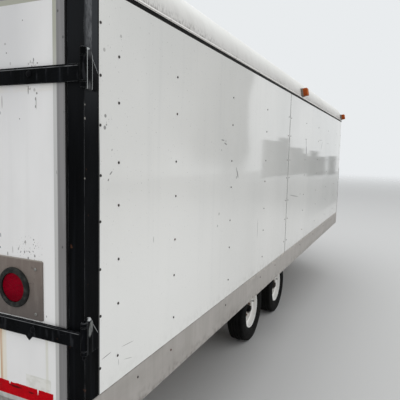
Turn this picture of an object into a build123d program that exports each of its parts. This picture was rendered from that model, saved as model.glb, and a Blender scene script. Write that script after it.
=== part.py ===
# Enclosed snowmobile trailer: V-nose body, two rear doors, tandem axles, A-frame tongue and jack.
# Millimetres. X to the right, Y towards the nose, Z up. The pieces are made with the rear plane of
# the body at y = 0 and the ground at z = 0, and are saved about the bottom centre of the trailer.
from build123d import *
import math
import os

# Body
BODY_WIDTH = 2590.0
SIDE_LENGTH = 5340.0
NOSE_TIP_WIDTH = 350.0
NOSE_ANGLE = 45.0  # how far each nose wall turns in from the side wall, in degrees
WALL = 25.0
WALL_HEIGHT = 1223.0
SHEET_SEAM_Y = 2417.0
NOSE_CAP_WRAP = 45.0
NOSE_CAP_PROUD = 4.0
ROCK_GUARD_HEIGHT = 610.0
ROCK_GUARD_THICK = 3.0

# Lower rails and floor
RAIL_BOTTOM = 690.0
RAIL_HEIGHT = 147.0
RAIL_WEB = 6.0
FLOOR_THICK = 18.0
CROSS_SPACING = 406.0
CROSS_FIRST_Y = 260.0
CROSS_FLANGE = 45.0
CROSS_WEB = 5.0

# Roof and its edge
BAND_HEIGHT = 18.0
LIP_HEIGHT = 5.0
LIP_PROUD = 6.0
COVE_RADIUS = 195.0
ROOF_THICK = 25.0
BOW_FIRST_Y = 555.0
BOW_SPACING = 621.0
BOW_WIDTH = 38.0
BOW_DEPTH = 25.0
BOW_SEAT_GAP = 0.3

# Rear frame. Each post is an angle with a face towards the rear and a flange on the side.
POST_FACE_WIDTH = 58.5
POST_SIDE_WIDTH = 66.0
STOP_WIDTH = 44.0
STOP_DROP = 22.0
HEADER_THICK = 45.0
HEADER_DROP = 17.0
SILL_DEPTH = 90.0
SILL_LIP_HEIGHT = 57.0

# Doors
DOOR_THICK = 40.0
DOOR_PROUD = 5.0
DOOR_GAP = 6.0
DOOR_HINGE_GAP = 5.0
DOOR_MEETING_GAP = 7.0
DOOR_FRAME_WIDTH = 45.0
DOOR_LIP_WIDTH = 15.0
DOOR_PANEL_SUNK = 1.5

# Door hinges. Each row: middle height of the strap, middle height of the butt.
HINGES = ((1041.0, 1058.0), (1807.0, 1820.0))
PIVOT_OUT = 10.0
PIVOT_BACK = 16.0
KNUCKLE_RADIUS = 10.0
PIN_RADIUS = 5.0
PIN_CLEARANCE = 0.05
STRAP_LENGTH = 600.0
STRAP_HEIGHT = 48.0
STRAP_THICK = 8.0
STRAP_TIP_RADIUS = 15.0
BUTT_HEIGHT = 112.0
BUTT_WIDTH = 28.0
BUTT_THICK = 8.0
BUTT_CORNER = 6.0
GUSSET_WIDTH = 58.0
GUSSET_SLOPE = 44.0
GUSSET_THICK = 4.0
EAR_GAP = 2.5
UPPER_EAR = 26.0
EAR_REACH = 20.0

# Tail lamps, measured from the side of the body and from the top of the lower strap
LAMP_INSET = 271.0
LAMP_PLATE_ABOVE_STRAP = 4.5
LENS_RADIUS = 47.0
LENS_DEPTH = 4.0
LENS_CHAMFER = 2.0
LENS_GAP = 0.3
GROMMET_RADIUS = 64.0
GROMMET_DEPTH = 8.0
GROMMET_ROUND = 6.0
LAMP_PLATE_WIDTH = 235.0
LAMP_PLATE_HEIGHT = 188.0
LAMP_PLATE_LIFT = 2.0
LAMP_PLATE_THICK = 3.0
LAMP_PLATE_CORNER = 6.0

# Lock rods, measured from the middle of the body
ROD_INSET = 130.0
ROD_RADIUS = 13.0
ROD_STAND_OFF = 22.0
ROD_OVERRUN = 28.0
CAM_HEIGHT = 12.0
CAM_REACH = 18.0
GUIDE_WIDTH = 60.0
GUIDE_HEIGHT = 34.0
GUIDE_HEIGHTS = (860.0, 1240.0, 1640.0, 1950.0)
HANDLE_HEIGHT = 1130.0
HANDLE_LENGTH = 380.0
HANDLE_THICK = 12.0
HANDLE_REACH = 32.0
HOLDER_WIDTH = 44.0
HOLDER_END_DISTANCE = 90.0
KEEPER_GAP = 6.0
KEEPER_WALL = 8.0
KEEPER_HEIGHT = 34.0

# Marker lamps: a flat base and a deep lens on it
MARKER_WIDTH = 66.0
MARKER_HEIGHT = 66.0
MARKER_DEPTH = 54.0
MARKER_CORNER = 10.0
MARKER_ROUND = 8.0
MARKER_BASE_DEPTH = 18.0
MARKER_BASE_EDGE = 2.0
MARKER_SEAT_GAP = 0.3
MARKER_PAST_SEAM = 373.0
MARKER_BEHIND_CORNER = 90.0
SIDE_MARKER_TURN = 10.0  # how far up the cove the side lamps sit, in degrees
REAR_MARKER_INSET = 165.0
REAR_MARKER_SPACING = 150.0
REAR_MARKER_LIFT = 82.0

# Chassis
FRAME_X = 720.0
FRAME_WIDTH = 60.0
FRAME_HEIGHT = 120.0
FRAME_REAR_Y = 70.0
FRAME_BEHIND_NOSE = 40.0
TONGUE_PAST_NOSE = 870.0
TONGUE_END_X = 60.0

# Axles and springs
AXLE_Y = (2580.0, 3380.0)
AXLE_RADIUS = 30.0
AXLE_SHOULDER_X = 800.0
SPINDLE_RADIUS = 17.5
SPINDLE_END_X = 972.0
BACK_PLATE_RADIUS = 100.0
BACK_PLATE_THICK = 4.0
BACK_PLATE_GAP = 6.0
SPRING_HALF_SPAN = 320.0
SPRING_SAG_HEIGHT = 90.0
SPRING_WIDTH = 44.0
LEAF_THICK = 8.0
LEAF_SHARES = (1.0, 0.78, 0.55)  # half length of each leaf, as a share of the main leaf
SPRING_SEAT_RISE = 35.0
SPRING_SEAT_LENGTH = 110.0
SPRING_SEAT_GAP = 0.3
EYE_RADIUS = 16.0
BOLT_RADIUS = 8.0
BOLT_CLEARANCE = 0.05
HANGER_THICK = 6.0
HANGER_LENGTH = 60.0
HANGER_TONGUE = 38.0
EQUALISER_RISE = 40.0

# Wheels, in (x, radius) from the middle of the tyre
TYRE_X = 932.5
TYRE_RADIUS = 270.0
TYRE_WIDTH = 155.0
TREAD_WIDTH = 121.0
TREAD_CROWN = 4.0
SHOULDER_DROP = 18.0
SHOULDER_IN = 6.0
BULGE_RADIUS = 210.0
BULGE_HEIGHT = 20.0
RIM_LIP_RADIUS = 158.0
BEAD_RADIUS = 146.0
BEAD_GAP = 0.3
BEAD_THICK = 9.0
RIM_WIDTH = 116.0
RIM_WALL = 5.0
WELL_HALF = 20.0
WELL_DEPTH = 16.0
WELL_SLOPE = 8.0
DISC_X = 12.0
DISC_DISH = 16.0
DISC_RIM_RADIUS = 97.0
DISC_FLAT_RADIUS = 73.0
DISC_BORE = 34.0
HUB_CLEARANCE = 0.05
HUB_INNER_X = -80.0
HUB_RADIUS = 36.0
HUB_CAP_RADIUS = 24.0
HUB_CAP_GAP = 3.0
HUB_CAP_WALL = 9.0
HUB_SEAT = 1.0
HUB_FLANGE_RADIUS = 68.0
DRUM_RADIUS = 104.0
DRUM_WALL = 8.0
DRUM_FACE_X = -22.0

# Coupler and jack
BALL_PAST_TONGUE = 90.0
BALL_RADIUS = 25.4
SOCKET_CLEARANCE = 0.6
SOCKET_WALL = 11.0
COUPLER_TOP = 672.0
COUPLER_BOTTOM = 585.0
COUPLER_LAP = 270.0
COUPLER_ROUND = 8.0
LATCH_WIDTH = 18.0
LATCH_HEIGHT = 24.0
LATCH_BACK = 45.0
LATCH_LENGTH = 115.0
LEVER_RADIUS = 7.0
LEVER_LENGTH = 120.0
LEVER_RISE = 30.0
JACK_BEHIND_TONGUE_END = 430.0
JACK_TUBE_RADIUS = 29.0
JACK_LEG_RADIUS = 23.0
JACK_TOP = 980.0
JACK_CAP_HEIGHT = 70.0
JACK_CAP_RADIUS = 34.0
JACK_TUBE_BOTTOM = 330.0
JACK_FOOT_RADIUS = 75.0
JACK_FOOT_THICK = 8.0
JACK_PLATE_THICK = 8.0
JACK_PLATE_BACK = 110.0
JACK_PLATE_LAP = 48.0
CRANK_RADIUS = 8.0
CRANK_LENGTH = 150.0
CRANK_DROP = 130.0
GRIP_RADIUS = 14.0
GRIP_LENGTH = 90.0
CHAIN_HOLE_RADIUS = 8.0
CHAIN_HOLE_X = 110.0
CHAIN_HOLE_PAST_JACK = 85.0
CHAIN_HOLE_EDGE = 40.0

# Sizes worked out from those above
half_width = BODY_WIDTH / 2
nose_depth = (half_width - NOSE_TIP_WIDTH / 2) / math.tan(math.radians(NOSE_ANGLE))
nose_tip_y = SIDE_LENGTH + nose_depth
rail_top = RAIL_BOTTOM + RAIL_HEIGHT
wall_top = rail_top + WALL_HEIGHT
trim_top = wall_top + BAND_HEIGHT + LIP_HEIGHT
roof_top = trim_top + COVE_RADIUS
post_inner_x = half_width - POST_FACE_WIDTH
rail_depth = POST_FACE_WIDTH
door_outer = -DOOR_PROUD
door_inner = door_outer + DOOR_THICK
stop_y = door_inner + DOOR_GAP
door_bottom = RAIL_BOTTOM + SILL_LIP_HEIGHT + DOOR_GAP
header_bottom = trim_top - HEADER_DROP
door_top = header_bottom - DOOR_GAP
pivot_x = half_width + PIVOT_OUT
lamp_plate_z = HINGES[0][0] + STRAP_HEIGHT / 2 + LAMP_PLATE_ABOVE_STRAP + LAMP_PLATE_HEIGHT / 2
lamp_z = lamp_plate_z - LAMP_PLATE_LIFT
side_marker_y = (SHEET_SEAM_Y + MARKER_PAST_SEAM, SIDE_LENGTH - MARKER_BEHIND_CORNER)
frame_bottom = RAIL_BOTTOM - FRAME_HEIGHT
frame_inner_x = FRAME_X - FRAME_WIDTH / 2
frame_outer_x = FRAME_X + FRAME_WIDTH / 2
spring_inner_x = FRAME_X - SPRING_WIDTH / 2
spring_outer_x = FRAME_X + SPRING_WIDTH / 2
spring_radius = (SPRING_HALF_SPAN ** 2 + SPRING_SAG_HEIGHT ** 2) / (2 * SPRING_SAG_HEIGHT)
spring_seat_z = TYRE_RADIUS + SPRING_SEAT_RISE
eye_z = spring_seat_z + LEAF_THICK * len(LEAF_SHARES) + SPRING_SAG_HEIGHT
equaliser_y = sum(AXLE_Y) / 2
equaliser_z = eye_z + EQUALISER_RISE
rod_y = door_outer - ROD_STAND_OFF
handle_back_y = rod_y - HANDLE_REACH
socket_radius = BALL_RADIUS + SOCKET_CLEARANCE
frame_front_y = SIDE_LENGTH - FRAME_BEHIND_NOSE
tongue_end_y = nose_tip_y + TONGUE_PAST_NOSE
ball_y = tongue_end_y + BALL_PAST_TONGUE
latch_y = (tongue_end_y - LATCH_BACK, tongue_end_y - LATCH_BACK + LATCH_LENGTH)
coupler_rear_y = tongue_end_y - COUPLER_LAP
jack_y = tongue_end_y - JACK_BEHIND_TONGUE_END
chain_hole_y = jack_y + CHAIN_HOLE_PAST_JACK
coupler_front_y = ball_y + socket_radius + SOCKET_WALL
centre_y = (coupler_front_y + handle_back_y) / 2
far = 2 * nose_tip_y


def block(x, y, z):
    """Box between the pairs x, y and z."""
    middle = Pos((x[0] + x[1]) / 2, (y[0] + y[1]) / 2, (z[0] + z[1]) / 2)
    return middle * Box(x[1] - x[0], y[1] - y[0], z[1] - z[0])


def span(middle, size):
    """Pair of limits about a middle."""
    return middle - size / 2, middle + size / 2


def upright(points, z):
    """Prism with an outline of (x, y) points."""
    return extrude(Pos(0, 0, z[0]) * Polygon(*points, align=None), amount=z[1] - z[0])


def along_x(points, x):
    """Prism with an outline of (y, z) points."""
    plane = Plane(origin=(x[0], 0, 0), x_dir=(0, 1, 0), z_dir=(1, 0, 0))
    return extrude(plane * Polygon(*points, align=None), amount=x[1] - x[0])


def rod(start, end, radius):
    """Round bar between two points."""
    way = Vector(*end) - Vector(*start)
    return extrude(Plane(origin=start, z_dir=way) * Circle(radius), amount=way.length)


def upright_rod(x, y, z, radius):
    """Round bar between two heights."""
    return rod((x, y, z[0]), (x, y, z[1]), radius)


def wheel_turned(points, y):
    """Solid turned about the right wheel's axis at y, from (x, radius) points about the tyre's middle."""
    plane = Plane(origin=(TYRE_X, y, TYRE_RADIUS), x_dir=(1, 0, 0), z_dir=(0, -1, 0))
    return revolve(plane * Polygon(*points, align=None), Axis((TYRE_X, y, TYRE_RADIUS), (1, 0, 0)), 360)


def both(shape):
    """The shape and its mirror image on the left side."""
    return [shape, mirror(shape, about=Plane.YZ)]


def save(name, *shapes):
    """Write a node with the origin at the bottom centre of the trailer."""
    solids = [solid for shape in shapes for solid in shape.solids()]
    export_step(Pos(0, -centre_y, 0) * Compound(solids), f"parts/{name}.step")


def footprint(inset, rear_y):
    """Plan outline of the body, moved in from its walls by inset."""
    turn = math.radians(NOSE_ANGLE)
    shoulder_y = SIDE_LENGTH - inset * (1 - math.cos(turn)) / math.sin(turn)
    tip_x = NOSE_TIP_WIDTH / 2 - inset * (1 - math.sin(turn)) / math.cos(turn)
    side_x = half_width - inset
    right = [(side_x, rear_y), (side_x, shoulder_y), (tip_x, nose_tip_y - inset)]
    return right + [(-x, y) for x, y in reversed(right)]


def ring(outer, inner, rear_y, z):
    """Band round the sides and nose, between two insets."""
    hollow = upright(footprint(inner, rear_y - WALL), (z[0] - WALL, z[1] + WALL))
    return upright(footprint(outer, rear_y), z) - hollow


def zone(y, half_x=far):
    """Tall block used to keep the part of a shape between two distances along the trailer."""
    return block((-half_x, half_x), y, (0, 2 * roof_top))


nose_zone = zone((SIDE_LENGTH, far))
cap_zone = zone((SIDE_LENGTH, far), NOSE_TIP_WIDTH / 2 + NOSE_CAP_WRAP)


def walls():
    """Side sheets, nose sheets, nose cap and rock guard."""
    x = (half_width - WALL, half_width)
    z = (rail_top, wall_top)
    save("side_panels_rear", *both(block(x, (POST_SIDE_WIDTH, SHEET_SEAM_Y), z)))
    save("side_panels_front", *both(block(x, (SHEET_SEAM_Y, SIDE_LENGTH), z)))
    start = SIDE_LENGTH - WALL
    save("nose_panels", (ring(0, WALL, start, z) & nose_zone) - cap_zone)
    save("nose_cap", ring(-NOSE_CAP_PROUD, WALL, start, z) & cap_zone)
    guard = ring(-ROCK_GUARD_THICK, 0, start, (rail_top, rail_top + ROCK_GUARD_HEIGHT))
    save("rock_guard", (guard & nose_zone) - cap_zone)


def coved(inset, rear_y):
    """Body outline with its top edge rounded along the sides and nose, moved in by inset."""
    body = upright(footprint(inset, rear_y), (wall_top, roof_top - inset))
    edges = body.faces().sort_by(Axis.Z)[-1].edges().sort_by(Axis.Y)
    rounded = fillet(edges[1:], COVE_RADIUS - inset)
    return rounded & block((-far, far), (-far, far), (trim_top, far))


def roof():
    """Roof sheet and coves, roof bows, edge trims and rear header."""
    outer = coved(0, 0)
    shell = (outer - coved(ROOF_THICK, -WALL)) & zone((HEADER_THICK, far))
    flat_zone = upright(footprint(COVE_RADIUS, HEADER_THICK), (trim_top, far))
    cove = shell - flat_zone
    corner_y = SIDE_LENGTH - COVE_RADIUS
    save("roof_sheet", shell & flat_zone)
    save("side_coves", cove & zone((0, corner_y)))
    save("nose_cove", cove & zone((corner_y, far)))

    bow_inset = ROOF_THICK + BOW_SEAT_GAP
    bow_shell = coved(bow_inset, 0) - coved(bow_inset + BOW_DEPTH, -WALL)
    bow_count = int((corner_y - BOW_FIRST_Y) // BOW_SPACING) + 1
    bow_places = [BOW_FIRST_Y + number * BOW_SPACING for number in range(bow_count)]
    save("roof_bows", *[bow_shell & zone(span(y, BOW_WIDTH)) for y in bow_places])

    trim = ring(0, WALL, POST_SIDE_WIDTH, (wall_top, wall_top + BAND_HEIGHT))
    trim += ring(-LIP_PROUD, WALL, POST_SIDE_WIDTH, (wall_top + BAND_HEIGHT, trim_top))
    save("side_trims", trim & zone((0, SIDE_LENGTH)))
    save("nose_trim", trim & nose_zone)

    x = (-post_inner_x, post_inner_x)
    header = outer & zone((0, HEADER_THICK))
    header += block(x, (0, POST_SIDE_WIDTH), (header_bottom, trim_top))
    header += block(x, (stop_y, POST_SIDE_WIDTH), (header_bottom - STOP_DROP, trim_top))
    save("rear_header", header)


def channel(y):
    """Cross member with its flanges towards the nose."""
    low, high, wall = RAIL_BOTTOM, rail_top, CROSS_WEB
    outline = [(y, low), (y + CROSS_FLANGE, low), (y + CROSS_FLANGE, low + wall), (y + wall, low + wall),
               (y + wall, high - wall), (y + CROSS_FLANGE, high - wall), (y + CROSS_FLANGE, high), (y, high)]
    return along_x(outline, (-half_width, half_width))


def lower_body():
    """Side rails, nose rail, cross members, floor, rear sill and corner posts."""
    z = (RAIL_BOTTOM, rail_top)
    rail = ring(0, RAIL_WEB, 0, z)
    rail += ring(RAIL_WEB, rail_depth, 0, (RAIL_BOTTOM, RAIL_BOTTOM + RAIL_WEB))
    rail += ring(RAIL_WEB, rail_depth, 0, (rail_top - RAIL_WEB, rail_top))
    right_side = block((0, far), (0, SIDE_LENGTH), z)
    save("side_rails", *both((rail & right_side) + block((post_inner_x, half_width), (0, RAIL_WEB), z)))
    save("nose_rail", rail & nose_zone)

    inside = upright(footprint(rail_depth, SILL_DEPTH), z)
    room = nose_tip_y - rail_depth - CROSS_FLANGE - CROSS_FIRST_Y
    places = [CROSS_FIRST_Y + number * CROSS_SPACING for number in range(int(room // CROSS_SPACING) + 1)]
    save("cross_members", *[channel(y) & inside for y in places])

    floor_z = (rail_top, rail_top + FLOOR_THICK)
    save("floor_deck", upright(footprint(WALL, SILL_DEPTH), floor_z))

    x = (-post_inner_x, post_inner_x)
    sill = block(x, (0, SILL_DEPTH), (RAIL_BOTTOM, RAIL_BOTTOM + SILL_LIP_HEIGHT))
    sill += block(x, (stop_y, SILL_DEPTH), z)
    sill += block((x[0] + STOP_WIDTH, x[1] - STOP_WIDTH), (stop_y, SILL_DEPTH), (RAIL_BOTTOM, floor_z[1]))
    save("rear_sill", sill)

    stop_x = post_inner_x - STOP_WIDTH
    section = [(post_inner_x, 0), (half_width, 0), (half_width, POST_SIDE_WIDTH), (stop_x, POST_SIDE_WIDTH),
               (stop_x, stop_y), (post_inner_x, stop_y)]
    post = upright(section, (rail_top, header_bottom - STOP_DROP))
    post += block((post_inner_x, half_width), (0, POST_SIDE_WIDTH), (rail_top, trim_top))
    save("rear_posts", *both(post))


def hinge_butts():
    """Butts on the posts' sides: a bar, a sloping gusset, two ears and the pin of each hinge."""
    shapes = []
    for strap_z, butt_z in HINGES:
        low, high = span(butt_z, BUTT_HEIGHT)
        bar = block((half_width, half_width + BUTT_THICK), (0, BUTT_WIDTH), (low, high))
        bar = fillet(bar.edges().filter_by(Axis.X).group_by(Axis.Y)[-1], BUTT_CORNER)
        gusset = along_x([(0, low), (GUSSET_WIDTH, low), (GUSSET_WIDTH, high - GUSSET_SLOPE),
                          (BUTT_WIDTH - BUTT_CORNER, high), (0, high)],
                         (half_width, half_width + GUSSET_THICK))
        butt = bar + gusset + upright_rod(pivot_x, -PIVOT_BACK, (low, high), PIN_RADIUS)
        for ear_z in ((low, strap_z - STRAP_HEIGHT / 2 - EAR_GAP), (high - UPPER_EAR, high)):
            web = upright([(pivot_x - KNUCKLE_RADIUS, -PIVOT_BACK), (pivot_x + KNUCKLE_RADIUS, -PIVOT_BACK),
                           (half_width + BUTT_THICK, EAR_REACH), (half_width, EAR_REACH)], ear_z)
            butt = butt + upright_rod(pivot_x, -PIVOT_BACK, ear_z, KNUCKLE_RADIUS) + web
        shapes += both(butt)
    save("hinge_butts", *shapes)


def door_leaf():
    """Right door's edge frame and panel."""
    x = (DOOR_MEETING_GAP / 2, post_inner_x - DOOR_HINGE_GAP)
    z = (door_bottom, door_top)
    inner_x = (x[0] + DOOR_FRAME_WIDTH, x[1] - DOOR_FRAME_WIDTH)
    inner_z = (z[0] + DOOR_FRAME_WIDTH, z[1] - DOOR_FRAME_WIDTH)
    frame = block(x, (door_outer, door_inner), z) - block(inner_x, (door_outer, door_inner), inner_z)
    middle_x, middle_z = sum(inner_x) / 2, sum(inner_z) / 2
    slope = []
    for y, lip in ((door_outer, DOOR_LIP_WIDTH), (door_outer + DOOR_PANEL_SUNK, 0)):
        plane = Plane(origin=(middle_x, y, middle_z), x_dir=(1, 0, 0), z_dir=(0, -1, 0))
        slope.append(plane * Rectangle(inner_x[1] - inner_x[0] + 2 * lip, inner_z[1] - inner_z[0] + 2 * lip))
    frame -= loft(slope, ruled=True)
    panel = block(inner_x, (door_outer + DOOR_PANEL_SUNK, door_inner - DOOR_PANEL_SUNK), inner_z)
    return {"frame": [frame], "panel": [panel]}


def door_straps():
    """Right door's hinge straps with their knuckles."""
    straps = []
    for strap_z, butt_z in HINGES:
        low, high = span(strap_z, STRAP_HEIGHT)
        bar = block((pivot_x - STRAP_LENGTH, pivot_x), (door_outer - STRAP_THICK, door_outer), (low, high))
        bar = fillet(bar.edges().filter_by(Axis.Y).group_by(Axis.X)[0], STRAP_TIP_RADIUS)
        knuckle_z = (low, butt_z + BUTT_HEIGHT / 2 - UPPER_EAR - EAR_GAP)
        knuckle = upright_rod(pivot_x, -PIVOT_BACK, knuckle_z, KNUCKLE_RADIUS)
        bore = upright_rod(pivot_x, -PIVOT_BACK, knuckle_z, PIN_RADIUS + PIN_CLEARANCE)
        straps.append((bar + knuckle) - bore)
    return {"straps": straps}


def tail_lamp():
    """Right door's lamp plate, rubber grommet and lens."""
    x = half_width - LAMP_INSET
    back_y = door_outer + DOOR_PANEL_SUNK
    face_y = back_y - LAMP_PLATE_THICK
    plate = block(span(x, LAMP_PLATE_WIDTH), (face_y, back_y), span(lamp_plate_z, LAMP_PLATE_HEIGHT))
    plate = fillet(plate.edges().filter_by(Axis.Y), LAMP_PLATE_CORNER)
    start = (x, face_y, lamp_z)
    grommet = rod(start, (x, face_y - GROMMET_DEPTH, lamp_z), GROMMET_RADIUS)
    grommet = fillet(grommet.edges().sort_by(Axis.Y)[0], GROMMET_ROUND)
    grommet -= rod(start, (x, face_y - GROMMET_DEPTH, lamp_z), LENS_RADIUS)
    lens = rod(start, (x, face_y - LENS_DEPTH, lamp_z), LENS_RADIUS - LENS_GAP)
    lens = chamfer(lens.edges().sort_by(Axis.Y)[0], LENS_CHAMFER)
    return {"lamp_plate": [plate], "lamp_grommet": [grommet], "lamp_lens": [lens]}


def lock_rod():
    """Right door's lock rod with its cams, guides, handle and handle holder."""
    panel_y = door_outer + DOOR_PANEL_SUNK
    z = (door_bottom - ROD_OVERRUN, door_top + ROD_OVERRUN)
    lock = upright_rod(ROD_INSET, rod_y, z, ROD_RADIUS)
    for cam_z in ((z[0], z[0] + CAM_HEIGHT), (z[1] - CAM_HEIGHT, z[1])):
        lock += block(span(ROD_INSET, 2 * ROD_RADIUS), (rod_y, rod_y + CAM_REACH), cam_z)
    guide_y = (rod_y - ROD_RADIUS / 2, panel_y)
    for middle in GUIDE_HEIGHTS:
        lock += block(span(ROD_INSET, GUIDE_WIDTH), guide_y, span(middle, GUIDE_HEIGHT))
    handle_y = (handle_back_y, handle_back_y + HANDLE_THICK)
    handle_z = span(HANDLE_HEIGHT, GUIDE_HEIGHT)
    end_x = ROD_INSET + HANDLE_LENGTH
    lock += block(span(ROD_INSET, 2 * ROD_RADIUS), (handle_back_y, rod_y), handle_z)
    lock += block((ROD_INSET, end_x), handle_y, handle_z)
    lock += block(span(end_x - HOLDER_END_DISTANCE, HOLDER_WIDTH), (handle_y[1], panel_y), handle_z)
    return {"lock_rod": [lock]}


def doors():
    """Both doors and the keepers that their rods close into."""
    for name, shapes in {**door_leaf(), **door_straps(), **tail_lamp(), **lock_rod()}.items():
        save(f"door_right_{name}", *shapes)
        save(f"door_left_{name}", *[mirror(shape, about=Plane.YZ) for shape in shapes])
    keepers = []
    inner = ROD_RADIUS + KEEPER_GAP
    for low in (door_bottom - DOOR_GAP - KEEPER_HEIGHT, header_bottom):
        z = (low, low + KEEPER_HEIGHT)
        outside = block(span(ROD_INSET, 2 * (inner + KEEPER_WALL)), (rod_y - ROD_RADIUS, 0), z)
        room = block(span(ROD_INSET, 2 * inner), (rod_y - ROD_RADIUS, -KEEPER_WALL / 2), z)
        keepers += both(outside - room)
    save("lock_keepers", *keepers)


def marker_lamp(sunk):
    """Lamp that stands out along X from x = 0, with its base sunk below that by an amount."""
    base = block((-sunk, MARKER_BASE_DEPTH), span(0, MARKER_WIDTH), span(0, MARKER_HEIGHT))
    base = fillet(base.edges().filter_by(Axis.X), MARKER_CORNER)
    lens_width, lens_height = MARKER_WIDTH - 2 * MARKER_BASE_EDGE, MARKER_HEIGHT - 2 * MARKER_BASE_EDGE
    lens = block((0, MARKER_DEPTH), span(0, lens_width), span(0, lens_height))
    lens = fillet(lens.edges().filter_by(Axis.X), MARKER_CORNER)
    lens = fillet(lens.faces().sort_by(Axis.X)[-1].edges(), MARKER_ROUND)
    return base + lens


def markers():
    """Amber lamps on the coves and red lamps on the rear header."""
    x, z = half_width - COVE_RADIUS, trim_top
    seat = rod((x, 0, z), (x, far, z), COVE_RADIUS + MARKER_SEAT_GAP)
    amber = []
    for y in side_marker_y:
        lamp = Pos(COVE_RADIUS, 0, 0) * marker_lamp(MARKER_BASE_DEPTH)
        amber += both(Pos(x, y, z) * Rot(0, -SIDE_MARKER_TURN, 0) * lamp - seat)
    save("marker_lamps_amber", *amber)
    edge_x = half_width - REAR_MARKER_INSET
    lamp = Rot(0, 0, -90) * marker_lamp(0)
    places = (-edge_x, -REAR_MARKER_SPACING, 0, REAR_MARKER_SPACING, edge_x)
    save("marker_lamps_red", *[Pos(x, 0, trim_top + REAR_MARKER_LIFT) * lamp for x in places])


def chassis():
    """Main rails with spring hangers, and the two tubes of the A-frame tongue."""
    rail = block((frame_inner_x, frame_outer_x), (FRAME_REAR_Y, frame_front_y), (frame_bottom, RAIL_BOTTOM))
    inner_side = (frame_inner_x, frame_inner_x + HANGER_THICK)
    outer_side = (frame_outer_x - HANGER_THICK, frame_outer_x)
    for y in (AXLE_Y[0] - SPRING_HALF_SPAN, AXLE_Y[1] + SPRING_HALF_SPAN):
        for x in (inner_side, outer_side):
            rail += block(x, span(y, HANGER_LENGTH), (eye_z - EYE_RADIUS, frame_bottom))
        rail -= rod((frame_inner_x, y, eye_z), (frame_outer_x, y, eye_z), BOLT_RADIUS + BOLT_CLEARANCE)
    rail += block(span(FRAME_X, HANGER_TONGUE), span(equaliser_y, HANGER_LENGTH),
                  (equaliser_z - EYE_RADIUS, frame_bottom))
    rail -= rod((frame_inner_x, equaliser_y, equaliser_z), (frame_outer_x, equaliser_y, equaliser_z),
                BOLT_RADIUS + BOLT_CLEARANCE)
    save("main_rails", *both(rail))

    tube = [(frame_inner_x, frame_front_y), (frame_outer_x, frame_front_y),
            (TONGUE_END_X + FRAME_WIDTH / 2, tongue_end_y), (TONGUE_END_X - FRAME_WIDTH / 2, tongue_end_y)]
    save("tongue_frame", *both(upright(tube, (frame_bottom, RAIL_BOTTOM))))


def axles():
    """Axle tubes with their spindles, brake back plates and spring seats."""
    plate_x = TYRE_X + HUB_INNER_X + DRUM_WALL / 2 - BACK_PLATE_GAP
    plate_back_x = plate_x - BACK_PLATE_THICK
    shapes = []
    for y in AXLE_Y:
        axle = rod((-AXLE_SHOULDER_X, y, TYRE_RADIUS), (AXLE_SHOULDER_X, y, TYRE_RADIUS), AXLE_RADIUS)
        axle += rod((-SPINDLE_END_X, y, TYRE_RADIUS), (SPINDLE_END_X, y, TYRE_RADIUS), SPINDLE_RADIUS)
        for side in (-1, 1):
            plate = rod((plate_x, y, TYRE_RADIUS), (plate_back_x, y, TYRE_RADIUS), BACK_PLATE_RADIUS)
            axle += plate if side == 1 else mirror(plate, about=Plane.YZ)
            axle += block(span(side * FRAME_X, SPRING_WIDTH), span(y, SPRING_SEAT_LENGTH),
                          (TYRE_RADIUS, spring_seat_z - SPRING_SEAT_GAP))
        shapes.append(axle)
    save("axles", *shapes)


def leaf(radius, half_angle):
    """One leaf, as a strip of a ring that hangs below its centre."""
    inner = CenterArc((0, 0), radius, -90 - half_angle, 2 * half_angle)
    outer = CenterArc((0, 0), radius + LEAF_THICK, -90 - half_angle, 2 * half_angle)
    return make_face([inner, outer, Line(inner @ 0, outer @ 0), Line(inner @ 1, outer @ 1)])


def springs():
    """Leaf springs of both axles, joined on each side by their equaliser."""
    half_angle = math.degrees(math.asin(SPRING_HALF_SPAN / spring_radius))
    centre_z = eye_z - SPRING_SAG_HEIGHT + spring_radius
    shapes = []
    for y in AXLE_Y:
        plane = Plane(origin=(spring_inner_x, y, centre_z), x_dir=(0, 1, 0), z_dir=(1, 0, 0))
        for number, share in enumerate(LEAF_SHARES):
            strip = leaf(spring_radius + number * LEAF_THICK, half_angle * share)
            shapes.append(extrude(plane * strip, amount=SPRING_WIDTH))
        for end_y in span(y, 2 * SPRING_HALF_SPAN):
            shapes.append(rod((spring_inner_x, end_y, eye_z), (spring_outer_x, end_y, eye_z), EYE_RADIUS))
            shapes.append(rod((frame_inner_x, end_y, eye_z), (frame_outer_x, end_y, eye_z), BOLT_RADIUS))
    rear_y, front_y = AXLE_Y[0] + SPRING_HALF_SPAN, AXLE_Y[1] - SPRING_HALF_SPAN
    edge = EYE_RADIUS
    rocker = [(rear_y - edge, eye_z - edge), (front_y + edge, eye_z - edge), (front_y + edge, eye_z + edge),
              (equaliser_y + edge, equaliser_z + edge), (equaliser_y - edge, equaliser_z + edge),
              (rear_y - edge, eye_z + edge)]
    for x in ((frame_inner_x, spring_inner_x), (spring_outer_x, frame_outer_x)):
        shapes.append(along_x(rocker, x))
    shapes.append(rod((spring_inner_x, equaliser_y, equaliser_z), (spring_outer_x, equaliser_y, equaliser_z),
                      BOLT_RADIUS))
    joined = shapes[0]
    for shape in shapes[1:]:
        joined += shape
    save("leaf_springs", *both(joined))


def mirrored_outline(points):
    """Closed outline from its outer half, mirrored about the middle of the tyre."""
    return points + [(-x, radius) for x, radius in reversed(points)]


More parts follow.
